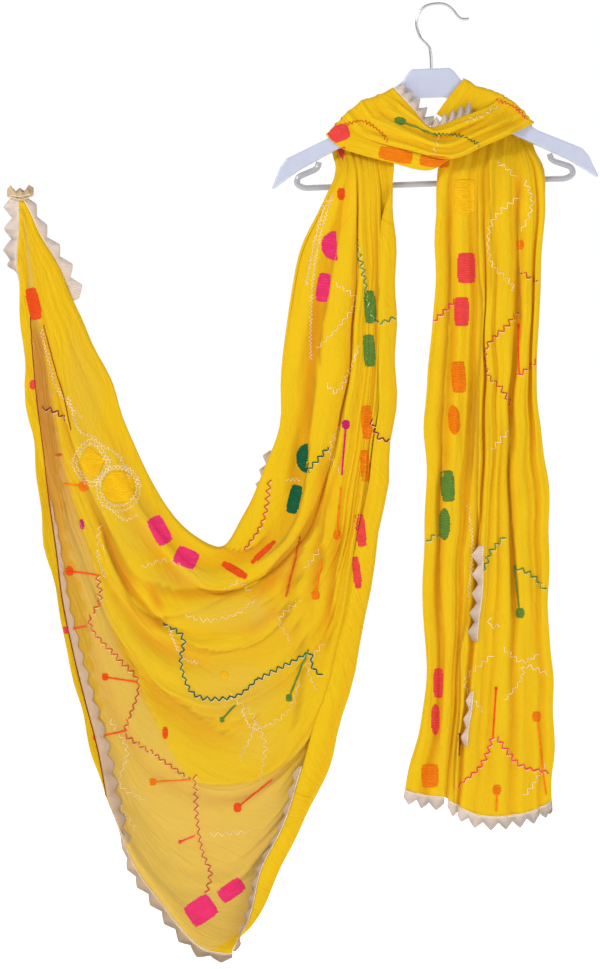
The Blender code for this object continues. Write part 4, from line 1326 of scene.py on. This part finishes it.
def lay_patch(block):
    """The points and faces of a filled motif on the cloth, with stitches across it."""
    columns, rows = (max(3, round(size / SILK_STEP)) + 1 for size in (block.width, block.height))
    turn, points, stitch = math.radians(block.tilt), {}, {}
    for i in range(rows):
        for j in range(columns):
            across, up = 2 * j / (columns - 1) - 1, 2 * i / (rows - 1) - 1
            if not SHAPES[block.shape](across * INSIDE, up * INSIDE):
                continue
            ragged = RAGGED * math.sin(i * 1.7 + block.x) if abs(across) > 0.7 else 0.0
            dx, dz = across * block.width / 2 + ragged, up * block.height / 2
            hit = touch(
                block.x + dx * math.cos(turn) - dz * math.sin(turn),
                block.z + dx * math.sin(turn) + dz * math.cos(turn),
            )
            if hit is not None:
                points[i, j] = hit[0]
                stitch[i, j] = (up * block.height / 2, across * block.width / 2)
    faces = []
    for i, j in points:
        corners = [(i, j), (i, j + 1), (i + 1, j + 1), (i + 1, j)]
        if all(c in points for c in corners) and np.ptp([points[c][1] for c in corners]) < JUMP:
            faces.append(corners)
    return points, faces, stitch


def satin_mesh(name, blocks):
    """All the filled motifs of one silk as a mesh."""
    vertices, faces, places = [], [], []
    for block in blocks:
        points, corners, stitch = lay_patch(block)
        used = sorted({c for face in corners for c in face})
        number = {c: len(vertices) + n for n, c in enumerate(used)}
        vertices += [tuple(points[c] * MM) for c in used]
        places += [stitch[c] for c in used]
        faces += [[number[c] for c in face] for face in corners]
    mesh = bpy.data.meshes.new(name)
    mesh.from_pydata(vertices, [], faces)
    write_uv(mesh, places)
    return mesh


print("shapes", *SHAPES)

# %% [markdown]
# Silk floss is glossy along the thread and darker between threads. Each silk is one material: the
# shared ribbing gives the threads, with painted shade between them, and a painted highlight on their
# tops gives the gloss.

# %% Silks
SILKS = {
    "pink": (0.96, 0.035, 0.17),
    "magenta": (0.62, 0.015, 0.16),
    "red": (0.92, 0.065, 0.06),
    "scarlet": (0.96, 0.08, 0.008),
    "orange": (1.0, 0.21, 0.002),
    "amber": (1.0, 0.50, 0.004),
    "green": (0.12, 0.25, 0.035),
    "forest": (0.006, 0.12, 0.05),
    "maroon": (0.26, 0.03, 0.012),
    "rust": (0.62, 0.11, 0.01),
    "peach": (1.0, 0.76, 0.48),
    "silver": (0.95, 0.74, 0.46),
}
PAINTED_SHADE_BETWEEN, PAINTED_HIGHLIGHT_ON_TOP = 0.84, 1.18  # painted shade between the threads, and painted highlight on their tops
PALE_PAINTED_SHADE_BETWEEN = {"amber": 0.95}
SILK_FINISH = {}
for name, colour in SILKS.items():
    dark = tuple(PALE_PAINTED_SHADE_BETWEEN.get(name, PAINTED_SHADE_BETWEEN) * c for c in colour)
    light = tuple(min(1.0, PAINTED_HIGHLIGHT_ON_TOP * c + 0.008) for c in colour)
    look = {"Roughness": 0.6, "Specular IOR Level": 0.06}
    SILK_FINISH[name] = thread_finish("silk_" + name, look, dark, light, 2.1, 2.4)
print("silks", *SILK_FINISH)

# %% Satin blocks
BLOCKS = [Block(*row) for row in (
    # down the strand
    ("pink", -143, -310, 21, 40, 4, "left_half"), ("pink", -150, -363, 17, 37, -8),
    ("scarlet", -127, -243, 10, 15, 0), ("forest", -177, -583, 17, 40, 4, "left_half"),
    ("forest", -187, -635, 16, 37, -13), ("green", -90, -388, 15, 42, 4), ("green", -91, -444, 15, 41, 4),
    ("orange", -94, -536, 13, 43, 2), ("orange", -96, -592, 12, 40, 4), ("red", -102, -675, 13, 42, 6),
    ("red", -107, -729, 10, 41, 6),
    # the flap near the held corner
    ("scarlet", -522, -384, 16, 41, 12), ("red", -523, -488, 8, 12, 0),
    ("rust", -490, -578, 3.5, 11, -85), ("amber", -447, -588, 31, 40, 14, "diamond"),
    ("amber", -413, -619, 42, 42, 0, "round"), ("pink", -360, -675, 21, 38, 28),
    ("pink", -326, -710, 30, 24, -24), ("scarlet", -264, -726, 36, 10, -30),
    ("scarlet", -227, -703, 42, 7, 43), ("magenta", -460, -667, 8, 15, 8, "round"),
    ("scarlet", -353, -935, 9, 17, 0, "round"), ("amber", -277, -861, 12, 12, 0, "round"),
    # the lowest corner
    ("pink", -307, -1163, 37, 31, 34), ("pink", -268, -1137, 35, 20, 36),
    # down the tail
    ("amber", 32, -246, 26, 44, 0), ("red", 34, -338, 23, 39, 0), ("red", 28, -394, 19, 37, 0),
    ("orange", 24, -478, 18, 40, 4), ("orange", 18, -533, 16, 40, 4, "round"),
    ("green", 10, -618, 17, 40, 4), ("green", 6, -667, 16, 43, 0, "round"), ("red", -2, -871, 13, 38, 0),
    ("red", -6, -918, 13, 42, 0, "round"), ("orange", -13, -990, 22, 30, 0),
    ("maroon", 25, -944, 6, 18, 0, "round"), ("orange", 103, -308, 12, 14, 0, "round"),
    # the cowl and the roll
    ("red", -130, -165, 27, 21, 20), ("red", -126, -193, 14, 20, 10, "wedge"),
    ("orange", -57, -193, 43, 17, -12), ("orange", -7, -201, 38, 15, -6),
    ("green", -51, -149, 17, 12, -10, "round"),
)]
print("blocks", len(BLOCKS))

# %% [markdown]
# A pin is a stem of satin stitch with a round head, and a zigzag trail is a thread that swings from
# side to side along its way. Both are thin tubes of thread, laid just on the cloth. The trail's way
# has only the few turns that give it its shape, and the swings are worked out.

# %% Pins and trails
Pin = namedtuple("Pin", "silk head_x head_z foot_x foot_z radius")
PINS = [Pin(*row) for row in (
    ("magenta", -121, -539, -126, -604, 6), ("orange", -132, -681, -128, -620, 6),
    ("orange", -160, -758, -152, -713, 6), ("orange", -458, -618, -483, -615, 7),
    ("scarlet", -476, -727, -440, -732, 6), ("red", -481, -803, -455, -798, 5),
    ("scarlet", -430, -863, -388, -870, 5), ("scarlet", -443, -941, -403, -932, 4),
    ("orange", -369, -998, -321, -995, 5), ("scarlet", -260, -1031, -216, -995, 6),
    ("red", -334, -1075, -315, -1067, 3), ("green", -194, -890, -169, -828, 5),
    ("green", -280, -918, -263, -899, 4), ("green", 103, -781, 96, -721, 6.5),
    ("orange", 124, -914, 136, -1014, 6.5), ("orange", 73, -1008, 72, -1036, 6.5),
    ("scarlet", 72, -878, 68, -940, 3), ("green", -51, -149, -6, -167, 5),
    ("scarlet", 101, -412, 102, -475, 3), ("maroon", 25, -936, 24, -964, 2),
    ("rust", -180, -683, -186, -712, 1.5), ("rust", -186, -712, -198, -760, 1.5),
)]
TRAILS = {  # x and z of each turn, one trail to a bracket
    "rust": (
        (-440, -732, -437, -764, -450, -793, -414, -839, -388, -870, -405, -932),
        (-405, -938, -372, -959, -321, -995),
        (-315, -989, -312, -1047, -304, -1092, -295, -1114, -300, -1141),
        (99, -394, 84, -414, 61, -437, 62, -475, 78, -492, 91, -513), (101, -340, 112, -348, 125, -355),
        (-219, -610, -225, -654, -232, -672, -251, -700),
    ),
    "forest": (
        (-357, -792, -330, -813, -333, -845, -315, -886, -263, -888, -234, -866),
        (-234, -866, -193, -845, -166, -833, -164, -850, -152, -862), (-168, -597, -157, -584, -144, -568),
    ),
    "maroon": (
        (-511, -518, -497, -521, -478, -533), (-89, -533, -77, -557, -62, -559),
    ),
    "peach": (
        (-134, -358, -108, -379, -125, -407, -157, -441),
        (-146, -487, -133, -497, -110, -455, -104, -437),
        (100, -247, 75, -268, 64, -286, 66, -331, 90, -356, 96, -370), (64, -787, 64, -797, 77, -798),
        (81, -826, 105, -843, 126, -835), (139, -859, 109, -850, 104, -867, 83, -893),
        (67, -835, 32, -870, 55, -908), (108, -1016, 122, -998, 136, -974),
        (73, -202, 88, -212, 96, -222), (109, -226, 118, -250, 113, -275, 104, -290),
        (67, -572, 76, -560, 88, -548), (30, -150, 52, -143, 74, -130),
    ),
    "green": (
        (-107, -302, -100, -338, -82, -407, -58, -402), (83, -683, 64, -704, 60, -715, 51, -735),
        (-16, -690, -10, -683, -2, -681), (96, -722, 116, -731, 135, -751),
    ),
    "red": (
        (68, -940, 53, -976, 22, -1004), (73, -941, 103, -976, 140, -986),
        (101, -476, 118, -462, 134, -445), (-9, -407, 10, -389, 19, -379),
    ),
    "silver": (
        (-3, -170, -5, -180, -8, -192), (-383, -722, -350, -713, -330, -722),
        (-328, -783, -302, -790, -263, -783, -238, -764), (-276, -751, -257, -741, -244, -754),
        (-424, -918, -402, -957, -411, -1002, -379, -1021), (-295, -1066, -244, -1062),
        (-238, -918, -225, -950, -231, -995), (-218, -925, -193, -905, -180, -867),
        (-173, -724, -164, -712, -154, -700), (-180, -764, -206, -790, -193, -816),
        (-392, -1060, -424, -1008), (-270, -886, -238, -918, -257, -970),
        (-436, -668, -439, -690, -428, -700), (-150, -820, -170, -850, -158, -880),
        (-128, -540, -142, -575, -128, -600),
    ),
}
SWING, SWING_PITCH = 2.7, 10.0  # how far a trail swings and how long each swing is
THREAD_RADIUS, PALE_RADIUS = 0.95, {"silver": 0.36, "peach": 0.5}
THREAD_RAISE = 0.5  # how far a thread's middle lies off the cloth
PARTNER = 1.7  # how far below a coloured trail its pale partner runs


def follow(way, step):
    """Places on a smooth way through a few turns, evenly spaced, with the direction across it."""
    flat = np.insert(np.reshape(way, (-1, 2)).astype(float), 1, 0.0, axis=1)
    line = smooth_line(flat, [12] * (len(flat) - 1))
    total = spans(line).sum()
    at = np.linspace(0, total, max(2, round(total / step)) + 1)
    line = resample(line, line, at)
    heading = unit(np.gradient(line, axis=0))
    return line[:, [0, 2]], np.column_stack([-heading[:, 2], heading[:, 0]]), at


def zigzag(way, drop=0.0):
    """The corners of a trail that swings unevenly from side to side, moved down by drop."""
    line, sideways, at = follow(way, SWING_PITCH / 6)
    swing = SWING * (2 * np.abs(2 * (at / SWING_PITCH % 1) - 1) - 1) * (0.9 + 0.25 * np.sin(at / 17.0))
    return line + sideways * swing[:, None] + np.array([0.35 * drop, -drop])


def stem(pin):
    """A pin's stem, from its foot to its head."""
    share = np.linspace(0, 1, max(3, round(math.dist(pin[1:3], pin[3:5]) / 1.5)))[:, None]
    return np.array(pin[3:5]) * (1 - share) + np.array(pin[1:3]) * share


def lay_threads(ways):
    """Flat ways put on the cloth, each broken where a fold cuts it."""
    runs = []
    for way in ways:
        runs.append([])
        for x, z in way:
            hit = touch(x, z)
            if hit is None or (runs[-1] and abs(hit[0][1] - runs[-1][-1][1]) > JUMP):
                runs.append([])
            if hit is not None:
                runs[-1].append(hit[0] + hit[1] * THREAD_RAISE)
    return [run for run in runs if len(run) > 1]


def add_threads(name, silk, runs, radius):
    """Thin tubes of one silk through runs of points, as one piece."""
    curve = bpy.data.curves.new(name, "CURVE")
    curve.dimensions = "3D"
    curve.bevel_depth = radius * MM
    curve.bevel_resolution = 1
    curve.use_fill_caps = True
    for run in runs:
        spline = curve.splines.new("POLY")
        spline.points.add(len(run) - 1)
        for point, place in zip(spline.points, run):
            point.co = (*(np.array(place) * MM), 1.0)
    holder = add_thing(name + "_curve", curve)
    bpy.context.view_layer.update()
    mesh = bpy.data.meshes.new_from_object(holder.evaluated_get(bpy.context.evaluated_depsgraph_get()))
    mesh.name = name
    bpy.data.objects.remove(holder)
    print(len(runs), "runs of", silk, end=" in ")
    add_piece(name, mesh, SILK_FINISH[silk])


print("pins", len(PINS), "trails", sum(len(ways) for ways in TRAILS.values()))

# %% Work the embroidery, silk by silk
for silk in SILKS:
    pins = [pin for pin in PINS if pin.silk == silk]
    heads = [Block(silk, p.head_x, p.head_z, 2 * p.radius, 2.3 * p.radius, 0, "round") for p in pins]
    blocks = [block for block in BLOCKS if block.silk == silk] + heads
    if blocks:
        mesh = satin_mesh("satin_" + silk, blocks)
        add_piece(mesh.name, mesh, SILK_FINISH[silk], thickness=RAISE)
    for kind, ways, radius in (
        ("trail_", [zigzag(way) for way in TRAILS.get(silk, ())], PALE_RADIUS.get(silk, THREAD_RADIUS)),
        ("stem_", [stem(pin) for pin in pins], 1.3 * THREAD_RADIUS),
    ):
        if ways:
            add_threads(kind + silk, silk, lay_threads(ways), radius)

coloured = [way for silk, ways in TRAILS.items() if silk not in PALE_RADIUS for way in ways]
add_threads("trail_partner", "peach", lay_threads([zigzag(way, PARTNER) for way in coloured]), 0.42)

# %% [markdown]
# Thin silver chain lines run beside the blocks and ring the two amber motifs. A chain is a row of tiny
# loops, and at this size a thread with a quick, small swing looks the same.

# %% Silver chains
CHAINS = (
    (-138, -244, -152, -290, -163, -350, -166, -410, -166, -456), (-180, -610, -198, -610),
    (-512, -417, -503, -455, -493, -490, -478, -512, -460, -530), (-437, -564, -412, -580, -398, -609),
    (-430, -641, -405, -661, -388, -655), (-478, -502, -462, -548, -440, -556),
    (-441, -700, -436, -722, -430, -735), (-349, -800, -330, -838, -310, -846),
    (-255, -905, -240, -930, -215, -922), (-146, -250, -160, -300, -172, -360),
    (36, -640, 42, -700, 36, -760),
)
CHAIN_SWING, CHAIN_PITCH = 1.6, 5.2
HEM_LINE = np.reshape(FACE_LACE, (-1, 2)) - (1.5, 0)
FOLD_LINE = (-509, -411, -504, -430, -499, -450, -491, -478, -483, -504, -477, -533, -474, -546)
LINES = (  # dark lines in the same stitch that paint a shadow along the turned hem and the flap's fold, and coloured lines on the cowl
    ("shadow_line_hem", "maroon", 0.2, HEM_LINE),
    ("shadow_line_fold", "maroon", 0.3, FOLD_LINE),
    ("line_cowl_left", "rust", CHAIN_SWING, (-122, -154, -100, -149, -77, -163, -67, -176)),
    ("line_cowl_middle", "forest", CHAIN_SWING, (-8, -166, 26, -168, 51, -180)),
    ("line_cowl_right", "red", CHAIN_SWING, (72, -122, 95, -131, 112, -148)),
)
RINGS = (  # x, z, width, height and sides, with 4 sides for a diamond
    (-413, -619, 47, 48, 24),
    (-447, -588, 40, 50, 4),
    (-413, -621, 56, 58, 24),
    (-447, -588, 50, 61, 4),
)


def chain(way, swing=CHAIN_SWING):
    """The places of a chain stitch, as a thread that swings quickly and unevenly."""
    line, sideways, at = follow(way, CHAIN_PITCH / 5)
    aside = swing * np.sin(math.tau * at / CHAIN_PITCH) * (1 + 0.5 * np.sin(at / 4.1))
    return line + sideways * aside[:, None]


def ring(x, z, width, height, sides):
    """A way round a motif."""
    turns = np.linspace(0, math.tau, sides + 1)
    return [(x + width / 2 * math.cos(a), z + height / 2 * math.sin(a)) for a in turns]


ways = [chain(way) for way in CHAINS] + [chain(ring(*row)) for row in RINGS]
add_threads("chain_silver", "silver", lay_threads(ways), 0.45)
for name, silk, swing, way in LINES:
    add_threads(name, silk, lay_threads([chain(way, swing)]), 0.6)

# %% [markdown]
# On the far left the long hem is turned over to the face of the cloth, so its lace lies on the cloth
# and points inwards. High up most of it is folded under, and only a narrow strip shows. The heading is
# a pale cord along the line where each lace is sewn on.

# %% Lace on the face, and the headings
FACE_WIDTH, FACE_PITCH, FACE_HEADING = 17.0, 24.0, 0.62
FACE_LIFT = np.array([0.0, -1.6, 0.0])  # clear of the cloth, towards the front
FACE_SHOWS = (0, 40, 180, 340), (0.1, 0.3, 0.6, 1.0)  # how far along it, and how much isn't folded under

line, sideways, at = follow(FACE_LACE[8:], 2.0)
point = 1 - np.abs(2 * (at / FACE_PITCH % 1) - 1) ** 1.3
reach = np.interp(at, *FACE_SHOWS) * FACE_WIDTH * (FACE_HEADING + (1 - FACE_HEADING) * point)
bands = []
for share in np.linspace(0, 1, 8):
    bands.append([])
    for x, z in line + sideways * reach[:, None] * share:
        hit = touch(x, z)
        bands[-1].append(hit[0] + FACE_LIFT if hit is not None else bands[-1][-1])
mesh = grid_mesh("lace_on_face", np.array(bands))
add_piece(mesh.name, mesh, LACE_FINISH["lace_under_crepe"], thickness=0.4)
add_threads("lace_headings", "peach", HEADINGS, 0.45)

# %% [markdown]
# Every sheet in the table lists the size that it was cut to. The whole scarf is one piece, 1 m
# wide and 2.5 m long. Each stretch here is the part of it that shows.

# %% [markdown]
# The dressed model has to keep the solids' size, so both boxes are gathered.

# %% Sizes and finish
size = {
    "cad": [list(corner) for corner in solid_bounds],
    "visual": [list(corner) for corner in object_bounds()],
}
print("visual box", [[round(x, 4) for x in corner] for corner in size["visual"]])
